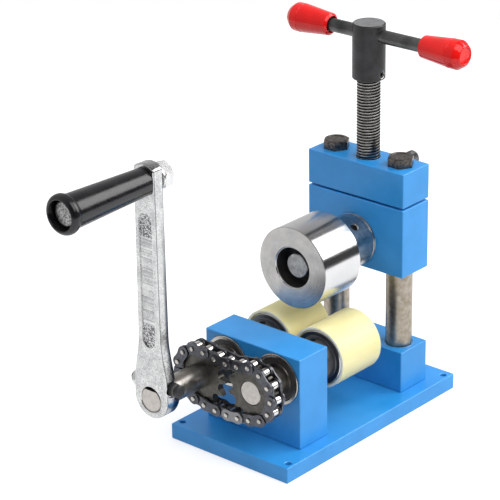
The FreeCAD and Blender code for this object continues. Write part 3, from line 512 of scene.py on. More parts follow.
# %% Front block with its two bores
bore = [(-65, 17.85), (-64, 17.85), (-63.65, 17.5), (-36.35, 17.5), (-36, 17.85), (-35, 17.85)]
holes = bmesh.new()
for x in (LEFT_X, RIGHT_X):
    join(holes, turned(bore, (x, 0, LOWER_Z)))
for x in (-BLOCK_SCREW_X, BLOCK_SCREW_X):
    join(holes, rod(6, 10, 25, (x, BLOCK_Y, 0), "Z", 32))
block = bar((-BAR_HALF, BLOCK_Y - 14, BASE_TOP), (BAR_HALF, BLOCK_Y + 14, 74.5))
painted("painted_front_block", "front_bearing_block", block, [holes])

# %% [markdown]
# The rear bar holds the two guide posts in blind sockets. The paint stops short of each post,
# which leaves a dark line round its foot. The bridge closes the posts on top and carries the
# lead screw's thread, and the sliding head has a bore for each post and one for its bearings.

# %% Rear bar, bridge and sliding head
LOCK_Z, KEEPER_Z = 153, 136.05
POST_FOOT, BRIDGE_LOW, BRIDGE_TOP = 20.5, 144.5, 168.5
SCREW_AXIS = (0, FRAME_Y, 0)


def beam(low, high):
    """One of the three bars that the posts go through or into, between two heights."""
    return bar((-BAR_HALF, FRAME_Y - 14, low), (BAR_HALF, FRAME_Y + 14, high))


foot = [(10, 3.3), (POST_FOOT, 3.3), (POST_FOOT, 9), (40, 9), (40, 10.2), (42, 10.2)]
pocket = turned([(132, 5.05), (141, 5.05), (141, 11), (144, 11)], SCREW_AXIS, "Z", steps=64)
bolt_holes = turned([(143, 8.05), (167.9, 8.05), (167.9, 8.5), (170, 8.5)], SCREW_AXIS, "Z")
feet, post_bores = bmesh.new(), bmesh.new()
for x in (-POST_X, POST_X):
    join(feet, turned(foot, (x, FRAME_Y, 0), "Z"))
    join(bolt_holes, rod(10.5, 143, 170, (x, FRAME_Y, 0), "Z", 48))
    join(post_bores, rod(18.1, 94, 144, (x, FRAME_Y, 0), "Z", 96))
painted("painted_rear_bar", "rear_post_beam", beam(BASE_TOP, 40.5), [feet])
painted("painted_bridge", "top_bridge", beam(BRIDGE_LOW, BRIDGE_TOP),
        [bolt_holes, rod(6.1, 57, 71, (0, 0, LOCK_Z), "Y", 40)])
painted("painted_sliding_head", "sliding_head", beam(95, 143),
        [post_bores, rod(35, 41, 71, (0, 0, UPPER_Z), "Y", 96), pocket,
         rod(5, 62, 71, (0, 0, KEEPER_Z), "Y", 32)], "head")

# %% [markdown]
# ## Guide posts
# The posts are ground bar, the only bare steel on the frame. The head slides on them, so their
# finish has fine streaks that run up and down.

# %% Guide posts
for side, x in (("left", -POST_X), ("right", POST_X)):
    post = soften(rod(18, POST_FOOT, BRIDGE_LOW, (x, FRAME_Y, 0), "Z", 96), 0.4)
    settle(f"ground_post_{side}", post, "frame", f"guide_post_{side}", "post_steel", POST)

# %% [markdown]
# ## Hexagon heads
# A hexagon bolt is turned first and milled after, so its corners are cut by a cone. The same
# happens here: a six-sided prism is kept only where it lies inside a turned shape with sloping
# shoulders. That leaves the curved lines over each flat that every real bolt has.

# %% Hexagon heads and bridge bolts
def hexagon(flats, low, high, centre, axis, both=False, degrees=0.0):
    """A chamfered hexagon between two places along an axis; its top is at the high end."""
    corner = flats / math.sqrt(3)
    sign = 1 if high > low else -1
    prism = rod(2 * corner, low - sign, high + sign, centre, axis, 6)
    swing(prism, degrees, centre, axis)
    rim, wide = flats / 2 * 0.95, corner * 1.02
    slope = sign * (wide - rim) * 0.6
    foot = [(low, rim), (low + slope, wide)] if both else [(low, wide)]
    cone = turned(foot + [(high - slope, wide), (high, rim)], centre, axis)
    return cut_with(prism, cone, "INTERSECT")


bolts = bmesh.new()
for x in (-POST_X, POST_X):
    head = hexagon(16, BRIDGE_TOP, 174.9, (x, FRAME_Y, 0), "Z")
    dish = turned([(174.5, 5.6), (175.2, 6.4)], (x, FRAME_Y, 0), "Z", steps=64)
    join(bolts, cut_with(head, dish), rod(10, 126.5, 169.5, (x, FRAME_Y, 0), "Z", 48))
settle("hexagon_bridge_bolts", bolts, "frame", "bridge_bolts", "bolt_dark", BOLT)

# %% [markdown]
# ## Socket screws
# Cap screws come up through the base from below, where only their heads show, and one more
# locks the lead screw from behind. A knurled head is a rim of small teeth round a six-sided
# socket, and a socket is a round hole with six sides.

# %% Cap screws
SOCKET_FLATS, SEAT_Z = 5, 6.8


def cap_screw(length, place):
    """An M6 cap screw with its head below a place and its shank above it."""
    head = soften(rod(10, 0, -6, place, "Z", 72), 0.35)
    socket = rod(2 * SOCKET_FLATS / math.sqrt(3), -2.52, -7, place, "Z", 6)
    return join(cut_with(head, socket), rod(6, -1, length, place, "Z", 40))


for name, node, spots, length in (
    ("cap_screws_in_block", "block_screws", SCREW_SPOTS[:2], 18.2),
    ("cap_screws_in_posts", "post_screws", SCREW_SPOTS[2:], 27.7),
):
    pair = join(bmesh.new(), *[cap_screw(length, (x, y, SEAT_Z)) for x, y in spots])
    settle(name, pair, "frame", node, "small_screws", OXIDE)

# %% [markdown]
# A grub screw has no head. It is made upright and laid over into the direction it points in.
# Those of the rolls and sprockets press on a shaft, so they start at its surface.

# %% Grub screws
SHAFT_R = 8.5
ROLL_GRUB_Y, WHEEL_GRUB_Y, HUB_GRUB_Z = -29.1, -79.0, 227.3
UPPER_GRUB_Y, UPPER_GRUB_LEAN = 29.0, 34.2
WHEEL_LEAN = {"left": -15, "right": 0}


def grub(place, out, length):
    """A headless M5 screw from a place outwards, with a socket in its outer end."""
    screw = soften(rod(5, 0, length, (0, 0, 0), "Z", 40), 0.3)
    screw = cut_with(screw, rod(2.9, length - 2.2, length + 1, (0, 0, 0), "Z", 6))
    tilt = AXES["Z"].rotation_difference(Vector(out)).to_matrix()
    bmesh.ops.rotate(screw, cent=(0, 0, 0), matrix=tilt, verts=screw.verts)
    shift(screw, place)
    return screw


def about_y(degrees):
    """The direction that a vertical one takes when it leans over about Y."""
    return Vector((math.sin(math.radians(degrees)), 0, math.cos(math.radians(degrees))))


for name, body, place, degrees in (
    ("left_roll", "crank_roll", (LEFT_X, ROLL_GRUB_Y, LOWER_Z), 0),
    ("right_roll", "right_roll", (RIGHT_X, ROLL_GRUB_Y, LOWER_Z), 0),
    ("left_sprocket", "crank_roll", (LEFT_X, WHEEL_GRUB_Y, LOWER_Z), WHEEL_LEAN["left"]),
    ("right_sprocket", "right_roll", (RIGHT_X, WHEEL_GRUB_Y, LOWER_Z), WHEEL_LEAN["right"]),
    ("upper_roll", "upper_roll", (0, UPPER_GRUB_Y, UPPER_Z), UPPER_GRUB_LEAN),
):
    out = about_y(degrees)
    screw = grub(Vector(place) + out * SHAFT_R, out, 5.0)
    settle(f"{name}_grub", screw, body, f"{name}_grub_screw", "small_screws", OXIDE)
settle("tee_hub_grub", grub((8, FRAME_Y, HUB_GRUB_Z), (1, 0, 0), 2.6), "screw",
       "tee_hub_grub_screw", "small_screws", OXIDE)

# %% [markdown]
# ## The lower shafts
# Both shafts are plain turned bars with broken ends. The long one has a flat milled on top for
# the crank's cross bolt, and the short one a small flat at its side. Their ends were faced off
# on the lathe, so they are paler than the handled, oily sides, and get a finish of their own.

# %% Shafts of the two padded rolls
def paint(sheet, finish, test):
    """Gives the faces that pass a test one of the piece's finishes."""
    sheet.normal_update()
    for face in sheet.faces:
        if test(face):
            face.material_index = finish
    return sheet


def middle(face):
    return face.calc_center_median()


def lower_shaft(x, front, flat, deep, degrees):
    """A shaft from its front end to its roll's back, with a flat at so many degrees from up."""
    centre = (x, 0, LOWER_Z)
    body = turned([(front, 7.8), (front + 0.7, SHAFT_R), (11.3, SHAFT_R), (12, 7.8)], centre)
    level = LOWER_Z + SHAFT_R - deep
    mill = bar((x - 9, front - 1, level), (x + 9, front + flat, LOWER_Z + 12), 0.05)
    swing(mill, degrees, centre)
    body = cut_with(body, mill)
    return paint(body, 1, lambda face: face.normal.y < -0.9 and middle(face).y < front + 0.1)


long_shaft = lower_shaft(LEFT_X, CRANK_Y, 13.5, 2.2, 0)
settle("left_shaft", long_shaft, "crank_roll", "left_roll_shaft", "shaft_steel", SHAFT, FACED)
short_shaft = lower_shaft(RIGHT_X, -90.2, 12.0, 0.8, 65)
settle("right_shaft", short_shaft, "right_roll", "right_roll_shaft", "shaft_steel", SHAFT, FACED)

# %% [markdown]
# ## Padded rolls
# Each lower roll is a steel core with a hub, and a cream polyurethane sleeve that grips the
# strip. The sleeve is cast, so it is smooth and a little waxy. Light sinks into it slightly,
# which a small subsurface share gives, and its colour drifts from cream to straw. Its end
# faces are painted a paler, whiter cream, which is a painted highlight.

# %% Cast polyurethane
def cast_sleeve(name, light, deep):
    cream = Finish(name, light, 0.0, 0.42, Subsurface_Weight=0.4, Subsurface_Scale=1.0,
                   Subsurface_Radius=(0.012, 0.010, 0.004), Specular_IOR_Level=0.25)
    drift = cream.noise(0.09, cream.mapped((1, 0.25, 1)), detail=5)
    tone = cream.blend(cream.between(drift, 0.35, 0.68), light, deep)
    specks = cream.noise(0.9, detail=2)
    tone = cream.blend(cream.between(specks, 0.68, 0.82, 0, 0.35), tone, (0.70, 0.62, 0.33))
    skin = cream.bump(cream.noise(0.45, detail=3), 0.25, 0.03)
    return cream.wear(tone, cream.between(drift, 0.3, 0.7, 0.36, 0.50), skin)


CREAM = cast_sleeve("cream_polyurethane", (0.93, 0.81, 0.42), (0.86, 0.73, 0.33))
# the paler, whiter finish for the sleeves' end faces is a painted highlight
SLEEVE_END_HIGHLIGHT = cast_sleeve("painted_highlight_polyurethane_end", (0.98, 0.95, 0.86), (0.94, 0.90, 0.76))
print("made", CREAM.name, "and", SLEEVE_END_HIGHLIGHT.name)

# %% Cores and sleeves
LOWER_ROLLS = (("left", LEFT_X, "crank_roll"), ("right", RIGHT_X, "right_roll"))
CORE_R, SLEEVE_R = 19, 21
CORE = [(-35.2, SHAFT_R), (-35.2, 15), (-23.4, 15), (-23.0, 15.4), (-23, 18.2), (-22.2, CORE_R),
        (16.2, CORE_R), (17, 18.2), (17, SHAFT_R)]
SLEEVE = [(-23, CORE_R), (-23, SLEEVE_R), (17, SLEEVE_R), (17, CORE_R)]
RING_STEEL = machined("turned_ring_steel", (0.66, 0.66, 0.66), (0.52, 0.52, 0.53), 0.24, 2.0, 0.15)


def off_axis(face, x, z):
    """How far a face's middle is from an axis that runs along Y."""
    return (middle(face).xz - Vector((x, z))).length


for side, x, body in LOWER_ROLLS:
    face_steel = machined(
        f"{side}_core_face", (0.115, 0.12, 0.135), (0.07, 0.075, 0.085), 0.36, 2.2, 0.3,
        centre=(x, 0, LOWER_Z), axis="Y", metallic=0.8, wear=(0.45, 0.45, 0.46),
    )
    core = soften(turned(CORE, (x, 0, LOWER_Z), closed=True), 0.35, above=60)
    core = cut_with(core, rod(5, 5, 20, (x, ROLL_GRUB_Y, LOWER_Z), "Z", 32))
    paint(core, 1, lambda face: face.normal.y < -0.3 and off_axis(face, x, LOWER_Z) > 18)
    settle(f"{side}_core", core, body, f"{side}_roll_core", "roll_core_steel", face_steel,
           RING_STEEL)
    sleeve = turned(SLEEVE, (x, 0, LOWER_Z), closed=True, steps=128)
    soften(sleeve, 0.45, above=60, segments=3)
    # the end faces get the painted highlight finish
    paint(sleeve, 1, lambda face: abs(face.normal.y) > 0.9)
    settle(f"{side}_sleeve", sleeve, body, f"{side}_roll_sleeve", "roll_sleeve", CREAM, SLEEVE_END_HIGHLIGHT)

# %% [markdown]
# ## Sealed bearings
# What shows of a ball bearing is three flat rings: a bright outer race, a black seal pressed
# into a groove, and the inner race on the shaft. One outline with small steps makes all three,
# and the rings get their finishes by their distance from the axis.

# %% Bearings
RACE = machined("bearing_race", (0.62, 0.60, 0.57), (0.46, 0.43, 0.40), 0.25, 2.5, 0.2,
                wear=(0.9, 0.88, 0.85))
SEAL = machined("bearing_seal_rubber", (0.035, 0.033, 0.033), (0.055, 0.048, 0.043), 0.42, 1.5, 0.4,
                metallic=0.0)
INNER = machined("inner_race", (0.20, 0.19, 0.18), (0.12, 0.11, 0.10), 0.32, 2.5, 0.2,
                 wear=(0.5, 0.48, 0.45))
RINGS = [(0.35, 8.55), (0, 8.9), (0, 11.3), (0.55, 11.55), (0.62, 12.5), (0.35, 12.9), (0.35, 14.3),
         (0.62, 14.7), (0.55, 15.2), (0, 15.35), (0, 17.15), (0.35, 17.5), (10, 17.5), (10, 8.55)]
INNER_R, SEAL_R = 11.5, 15.25


def bearing(name, x, z, face, way, body):
    """Hands over a bearing with its visible side at a face, whose body runs 10 mm along way."""
    rings = turned([(face + way * deep, wide) for deep, wide in RINGS], (x, 0, z), closed=True)
    paint(rings, 1, lambda part: INNER_R < off_axis(part, x, z) < SEAL_R)
    paint(rings, 2, lambda part: off_axis(part, x, z) <= INNER_R)
    settle(f"{name}_ball_bearing", rings, body, f"{name}_bearing", "bearing_dark", RACE, SEAL,
           INNER)


for side, x, _ in LOWER_ROLLS:
    bearing(f"{side}_front", x, LOWER_Z, -65.0, 1, "frame")
    bearing(f"{side}_back", x, LOWER_Z, -36.0, -1, "frame")
bearing("upper_front", 0, UPPER_Z, 42.0, 1, "head")
bearing("upper_back", 0, UPPER_Z, 70.0, -1, "head")

# %% [markdown]
# ## Sprockets
# A roller chain wheel is a disc whose rim was bevelled on the lathe and whose tooth gaps were
# milled after. Each gap is a round seat, a little larger than a chain roller, that opens
# outwards. One cutter is made from a circle and two far points by a convex hull, then turned
# round the wheel twelve times, and all twelve gaps are cut at once.

# %% Sprockets
TEETH, PITCH = 12, 9.525
PITCH_RADIUS = PITCH / (2 * math.sin(math.pi / TEETH))
SEAT_R, GAP_WIDE = 3.325, 8
WHEEL = [(-90.2, SHAFT_R), (-90.2, 17.4), (-89.25, 20.5), (-85.95, 20.5), (-85, 17.4), (-85, 12.9),
         (-84.6, 12.5), (-73.5, 12.5), (-73, 12.0), (-73, SHAFT_R)]
SPROCKET = machined("sprocket_steel", (0.125, 0.118, 0.105), (0.075, 0.070, 0.062), 0.40, 1.4, 0.45,
                    metallic=0.75, wear=(0.34, 0.32, 0.29), mottle=0.3)


def gap_cutter(x, degrees):
    """The shape of one tooth gap, right through the wheel's width."""
    cutter = bmesh.new()
    circle(cutter, SEAT_R, 28, PITCH_RADIUS)
    for rise in (-6.2, 6.2):
        cutter.verts.new((22.5, 0, rise))
    hull(cutter)
    thicken(cutter, GAP_WIDE)
    shift(cutter, (0, CHAIN_Y - GAP_WIDE / 2, 0))
    swing(cutter, degrees)
    shift(cutter, (x, 0, LOWER_Z))
    return cutter


for side, x, body in LOWER_ROLLS:
    wheel = turned(WHEEL, (x, 0, LOWER_Z), closed=True)
    lean = WHEEL_LEAN[side]
    gaps = join(bmesh.new(), *[gap_cutter(x, lean + 360 * n / TEETH) for n in range(TEETH)])
    tapped = rod(5, 5, 20, (0, 0, 0), "Z", 32)
    swing(tapped, lean)
    shift(tapped, (x, WHEEL_GRUB_Y, LOWER_Z))
    wheel = cut_with(cut_with(wheel, gaps), tapped)
    axis = Vector((x, LOWER_Z))
    soften(wheel, 0.22, above=30, chosen=lambda edge: (edge.verts[0].co.xz - axis).length > 13.5)
    settle(f"{side}_chain_wheel", wheel, body, f"{side}_sprocket", "sprocket_dark", SPROCKET)

# %% [markdown]
# ## Where the chain's pins are
# The chain sits in the tooth gaps round each wheel and hangs in shallow arcs between them. A
# whole number of links has to fit each arc, so the bend between one link and the next is found
# by halving an interval until the arc's ends meet the wheels.

# %% Pin places
def seats(x, first, last):
    """Pins in the gaps of one wheel, between two directions in degrees."""
    count = round(abs(last - first) * TEETH / 360)
    angles = [math.radians(first + (last - first) * n / count) for n in range(count + 1)]
    wheel = Vector((x, LOWER_Z))
    return [wheel + PITCH_RADIUS * Vector((math.cos(a), math.sin(a))) for a in angles]


def span(start, end, links, way):
    """Pins between two seats on the arc that this many links make; way says which way it bends."""
    low, high = 1e-6, math.pi / links
    while high - low > 1e-9:
        bend = (low + high) / 2
        reach = PITCH * math.sin(links * bend / 2) / math.sin(bend / 2)
        low, high = (bend, high) if reach > (end - start).length else (low, bend)
    heading = math.atan2(end.y - start.y, end.x - start.x) - way * bend * (links - 1) / 2
    spots, spot = [], start.copy()
    for _ in range(links - 1):
        spot = spot + PITCH * Vector((math.cos(heading), math.sin(heading)))
        heading += way * bend
        spots.append(spot)
    return spots


going, coming = seats(LEFT_X, 165, 75), seats(RIGHT_X, 90, -90)
home = seats(LEFT_X, 255, 195)
PINS = going + span(going[-1], coming[0], 4, 1) + coming + span(coming[-1], home[0], 5, -1) + home
CONNECTING = 14
print(len(PINS), "pins,", PITCH, "mm apart")

# %% [markdown]
# ## Roller chain
# A chain alternates two kinds of link. Outer plates hold two pins with riveted ends, and inner
# plates hold two bushes with rollers on them. A plate is a hull round two circles whose sides
# are drawn in to a waist. Each link is modelled once and copied from pin to pin, with few
# faces, because there are so many of them.

# %% Steels of the chain
PLATE = machined("chain_plate", (0.115, 0.118, 0.132), (0.070, 0.072, 0.082), 0.30, 1.6, 0.25,
                 metallic=0.85, wear=(0.52, 0.52, 0.54), mottle=0.35)
GREY_PLATE = machined("connecting_plate", (0.27, 0.275, 0.285), (0.20, 0.205, 0.215), 0.34, 1.6,
                      0.25, metallic=0.85, wear=(0.62, 0.62, 0.64), mottle=0.35)
PIN = machined("riveted_pin", (0.66, 0.63, 0.59), (0.44, 0.42, 0.39), 0.34, 2.2, 0.3)
ROLLER = machined("chain_roller", (0.84, 0.83, 0.81), (0.62, 0.61, 0.59), 0.20, 2.0, 0.15)
PIN_SHADOW = machined("pin_shadow_ring", (0.02, 0.02, 0.022), (0.015, 0.015, 0.017), 0.5, 2.0, 0.1,
                metallic=0.3)
PIN_FINISHES = [PIN, PIN_SHADOW, ROLLER]
print("made", PLATE.name, GREY_PLATE.name, *[finish.name for finish in PIN_FINISHES])

# %% Plates
PLATE_R, WAIST = 4.1, 3.5
OUTER_PLATE, INNER_PLATE = (-5.21, -4.18), (-4.14, -2.86)


def plate_of(low, high):
    """A link plate between two depths, from one pin to the next, with softened rims."""
    flat = bmesh.new()
    for end in (0.0, PITCH):
        circle(flat, PLATE_R, 20, end)
    hull(flat)
    sides = [edge for edge in flat.edges if edge.calc_length() > 5]
    bmesh.ops.subdivide_edges(flat, edges=sides, cuts=5, use_grid_fill=False)
    half = PITCH / 2
    for vert in flat.verts:
        off = abs(vert.co.x - half) / half
        if off < 0.8 and abs(vert.co.z) > 3:
            vert.co.z *= 1 - (1 - WAIST / PLATE_R) * math.cos(off * math.pi / 2) ** 2
    thicken(flat, high - low)
    shift(flat, (0, low, 0))
    return soften(flat, 0.16, above=60, segments=1)


def both_sides(make):
    """A shape made for the chain's front half and mirrored to its back half."""
    front, back = make(), make()
    bmesh.ops.scale(back, vec=(1, -1, 1), verts=back.verts)
    tidy(back)
    return join(front, back)


print("plates", 2 * PLATE_R, "mm wide, drawn in to", 2 * WAIST)

# %% Rivets and rollers
RIVET_R = 1.62


def rivet(at):
    """The spread end of a pin, with a painted shadow line round it where it leaves the plate."""
    outline = [(-5, 1.95), (-5.26, 1.95), (-5.24, 1.6), (-5.85, 1.6), (-6.1, 1.25), (-5.98, 0.5)]
    end = turned(outline, (at, 0, 0), steps=14)
    # the ring round the pin's end gets the painted shadow
    paint(end, 2, lambda face: off_axis(face, at, 0) > RIVET_R)
    return paint(end, 1, lambda face: off_axis(face, at, 0) <= RIVET_R)


def roller(at):
    """A roller between the inner plates, rounded at its ends."""
    outline = [(-2.8, 2.95), (-2.55, 3.175), (2.55, 3.175), (2.8, 2.95)]
    return paint(turned(outline, (at, 0, 0), steps=20), 3, lambda face: True)


def outer_link():
    rivets = [both_sides(lambda: rivet(at)) for at in (0.0, PITCH)]
    return join(both_sides(lambda: plate_of(*OUTER_PLATE)), *rivets)


def inner_link():
    return join(both_sides(lambda: plate_of(*INNER_PLATE)), roller(0.0), roller(PITCH))


print("two kinds of link")

# %% Lay the links
def lay_links(link, numbers):
    """Copies of one link, each from its own pin to the next."""
    form, run = as_mesh(link), bmesh.new()
    for number in numbers:
        start, end = PINS[number], PINS[(number + 1) % len(PINS)]
        turn = Matrix.Rotation(-math.atan2(end.y - start.y, end.x - start.x), 4, "Y")
        copy = form.copy()
        copy.transform(Matrix.Translation((start.x, CHAIN_Y, start.y)) @ turn)
        run.from_mesh(copy)
        bpy.data.meshes.remove(copy)
    bpy.data.meshes.remove(form)
    return run


LAST = len(PINS) - 1
outers = lay_links(outer_link(), [n for n in range(0, LAST, 2) if n != CONNECTING])
settle("outer_links", outers, "frame", "chain_outer_links", "chain_dark", PLATE, *PIN_FINISHES)
inners = lay_links(inner_link(), range(1, LAST, 2))
settle("inner_links", inners, "frame", "chain_inner_links", "chain_dark", PLATE, *PIN_FINISHES)
joining = lay_links(outer_link(), [CONNECTING])
settle("connecting_link", joining, "frame", "chain_connecting_link", "chain_grey", GREY_PLATE,
       *PIN_FINISHES)

# %% [markdown]
# Twenty-one pitches is an odd number, so one link has to be an outer link at one end and an
# inner link at the other. Its plates are cranked between the pins, which is done here by
# sliding the far half of a plain plate inwards.

# %% Offset link
def cranked_plate():
    plate = plate_of(*OUTER_PLATE)
    half = PITCH / 2
    for place in (half - 0.6, half + 0.6):
        cut = plate.verts[:] + plate.edges[:] + plate.faces[:]
        bmesh.ops.bisect_plane(
            plate, geom=cut, dist=0.001, plane_co=(place, 0, 0), plane_no=(1, 0, 0))
    shift(plate, (0, 1.20, 0), [vert for vert in plate.verts if vert.co.x > half])
    return plate


offset = join(both_sides(cranked_plate), both_sides(lambda: rivet(0.0)), roller(PITCH))
settle("offset_link", lay_links(offset, [LAST]), "frame", "chain_offset_link", "chain_dark", PLATE,
       *PIN_FINISHES)

# %% [markdown]
# ## The forged crank
# The crank is a drop forging: a round boss that clamps the shaft, and a flat arm that swells
# into it in an easy S and ends in a shallow arc over the grip's bolt. Its outline is
# symmetrical, so only the right half is drawn. One point is spun for each arc, and a divided
# line is bent into the S. The front edges are crisp and the back ones are well rounded, as a
# forging is where its die opens. The boss, bores and flute follow as they do in a shop.

# %% Sizes and arcs of the crank
ARM_THICK, ARM_HALF, ROOT_HALF, EYE_R = 9.4, 8.2, 9.2, 11.7
BOSS_R, BOSS_UP = 13.8, 1.2
ARM_END = EYE_Z - LOWER_Z
FLARE_LOW, FLARE_HIGH = 9.0, 44.0
EYE = (LEFT_X, 0, EYE_Z)
COTTER = (LEFT_X, CRANK_Y + 6.0, LOWER_Z + 9.3)


def arc_points(sheet, height, radius, first, last, steps):
    """Points on an arc over the boss, made by spinning one point; angles in degrees."""
    centre, angle = Vector((0, 0, height)), math.radians(first)
    start = sheet.verts.new(centre + radius * Vector((math.cos(angle), 0, math.sin(angle))))
    bmesh.ops.spin(
        sheet, geom=[start], cent=centre, axis=(0, -1, 0), dvec=(0, 0, 0),
        angle=math.radians(last - first), steps=steps, space=Matrix(), use_merge=False,
        use_normal_flip=False, use_duplicate=False,
    )


print("cotter bolt at", COTTER, "and grip at", EYE)

# %% [markdown]
# The outline starts at the bottom of the boss and is led round to the tip. Every point has its
# mirror image across the arm's middle line.

# %% Crank outline
def flare(sheet, below, above):
    """A divided line, bent into the S that leads from the boss into the arm."""
    start = sheet.verts.new((BOSS_R, 0, FLARE_LOW))
    stop = sheet.verts.new((ROOT_HALF, 0, FLARE_HIGH))
    sheet.edges.new((below, start))
    sheet.edges.new((stop, above))
    line = sheet.edges.new((start, stop))
    bmesh.ops.subdivide_edges(sheet, edges=[line], cuts=17, use_grid_fill=False)
    for vert in sheet.verts:
        if FLARE_LOW <= vert.co.z <= FLARE_HIGH:
            part = (vert.co.z - FLARE_LOW) / (FLARE_HIGH - FLARE_LOW)
            vert.co.x = ROOT_HALF + (BOSS_R - ROOT_HALF) * (1 + math.cos(math.pi * part)) / 2


def crank_outline():
    """Right half of the outline, mirrored and filled."""
    sheet = bmesh.new()
    arc_points(sheet, BOSS_UP, BOSS_R, -90, 0, 18)
    arc_points(sheet, ARM_END, EYE_R, math.degrees(math.acos(ARM_HALF / EYE_R)), 90, 10)
    ends = sorted((vert for vert in sheet.verts if len(vert.link_edges) == 1),
                  key=lambda vert: vert.co.z)
    flare(sheet, ends[1], ends[2])
    shoulder = Vector((ARM_HALF, 0, 155.85))
    corner = min(sheet.verts, key=lambda vert: (vert.co - shoulder).length)
    bmesh.ops.bevel(
        sheet, geom=[corner], offset=1.2, offset_type="OFFSET", segments=4, profile=0.5,
        affect="VERTICES", clamp_overlap=True, material=-1,
    )
    bmesh.ops.mirror(sheet, geom=sheet.verts[:] + sheet.edges[:], matrix=Matrix(),
                     merge_dist=0.01, axis="X", mirror_u=False, mirror_v=False)
    bmesh.ops.remove_doubles(sheet, verts=sheet.verts, dist=0.01)
    bmesh.ops.contextual_create(sheet, geom=sheet.edges[:])
    return sheet


outline = crank_outline()
print("arm", 2 * ARM_HALF, "mm wide, outline of", len(outline.verts), "points")

# %% Crank blank
FLUTE_R, FLUTE_LOW, FLUTE_HIGH, FLUTE_DEEP = 5.8, 42, 121.5, 0.8


def behind(edge):
    """How far the middle of an edge lies behind the arm's front face."""
    return (edge.verts[0].co.y + edge.verts[1].co.y) / 2 - CRANK_Y


def crank_blank(sheet):
    """Gives the outline the arm's thickness, crisp in front and well rounded behind."""
    thicken(sheet, ARM_THICK)
    shift(sheet, (LEFT_X, CRANK_Y, LOWER_Z))
    half = ARM_THICK / 2
    soften(sheet, 0.9, above=50, segments=3, chosen=lambda edge: behind(edge) < half)
    return soften(sheet, 2.8, above=50, segments=5, chosen=lambda edge: behind(edge) > half)


def flute_tool():
    """A shallow trench with round ends down the front of the arm."""
    tool = bmesh.new()
    for height in (FLUTE_LOW, FLUTE_HIGH):
        circle(tool, FLUTE_R, 36, z=height)
    hull(tool)
    far = thicken(tool, FLUTE_DEEP + 1)
    bmesh.ops.scale(tool, vec=(0.90, 1, 0.995), verts=far)
    shift(tool, (LEFT_X, CRANK_Y - 1, LOWER_Z))
    return tool


crank = crank_blank(outline)
boss = [(-136.4, 13.4), (-135.6, 13.75), (-126.2, 13.75), (-124.6, 13.0), (-123.5, 11.4)]
boss = turned(boss, (LEFT_X, 0, LOWER_Z + BOSS_UP), steps=120)
crank = cut_with(crank, boss, "UNION")
print("blank with its boss,", len(crank.faces), "faces")

# %% Flute, bore and bolt holes
bore = [(-138, 9.0), (CRANK_Y, 9.0), (-136.6, 8.53), (-122, 8.53)]
for tool in (
    flute_tool(),
    turned(bore, (LEFT_X, 0, LOWER_Z)),
    rod(10.04, -139, -126, EYE, "Y"),
    rod(6.1, -60, 60, COTTER, "X", 48),
    rod(11.6, 10.75, 20, COTTER, "X"),
    rod(11.6, -20, -12.25, COTTER, "X"),
):
    crank = cut_with(crank, tool)
print("crank cut,", len(crank.faces), "faces")

# %% [markdown]
# Its finish is a bright forging scale: silver, pitted and blotched, darker in the pits. Two
# short patches of pebbling close the flute's ends, and low ripples cross the flute between
# them. They are bumps in the finish, held to the flute by their height on the arm and by their
# depth under its front face. Their light and shade are painted on as well: pale pebble tops with
# painted shade between them, and light and dark painted bands along the ripples. The flute's
# corner gets a painted shade line, and the rounded back edge a painted shade with a bluish
# painted reflection.

# %% Masks for the flute
def flute_masks(finish):
    """The flute's floor, corner and two pebbled patches, then a point's depth and height."""
    times, between = finish.times, finish.between
    place = finish.node("SeparateXYZ")
    finish.feed(place.inputs[0], finish.mapped())
    across = finish.sum("ABSOLUTE", finish.sum("SUBTRACT", place.outputs["X"], LEFT_X))
    back, height = place.outputs["Y"], place.outputs["Z"]
    floor = times(between(back, CRANK_Y + 0.5, CRANK_Y + 0.7),
                  between(back, CRANK_Y + 1.5, CRANK_Y + 1.2))
    corner = times(floor, between(across, 5.1, 5.5))
    floor = times(floor, between(across, 6.0, 5.6))
    low_patch = times(between(height, 91, 92), between(height, 108, 107))
    high_patch = times(between(height, 166, 167), between(height, 184, 183))
    return floor, corner, times(finish.sum("ADD", low_patch, high_patch), floor), back, height


print("pebbled patches from 91 to 108 mm and from 166 to 184 mm up")

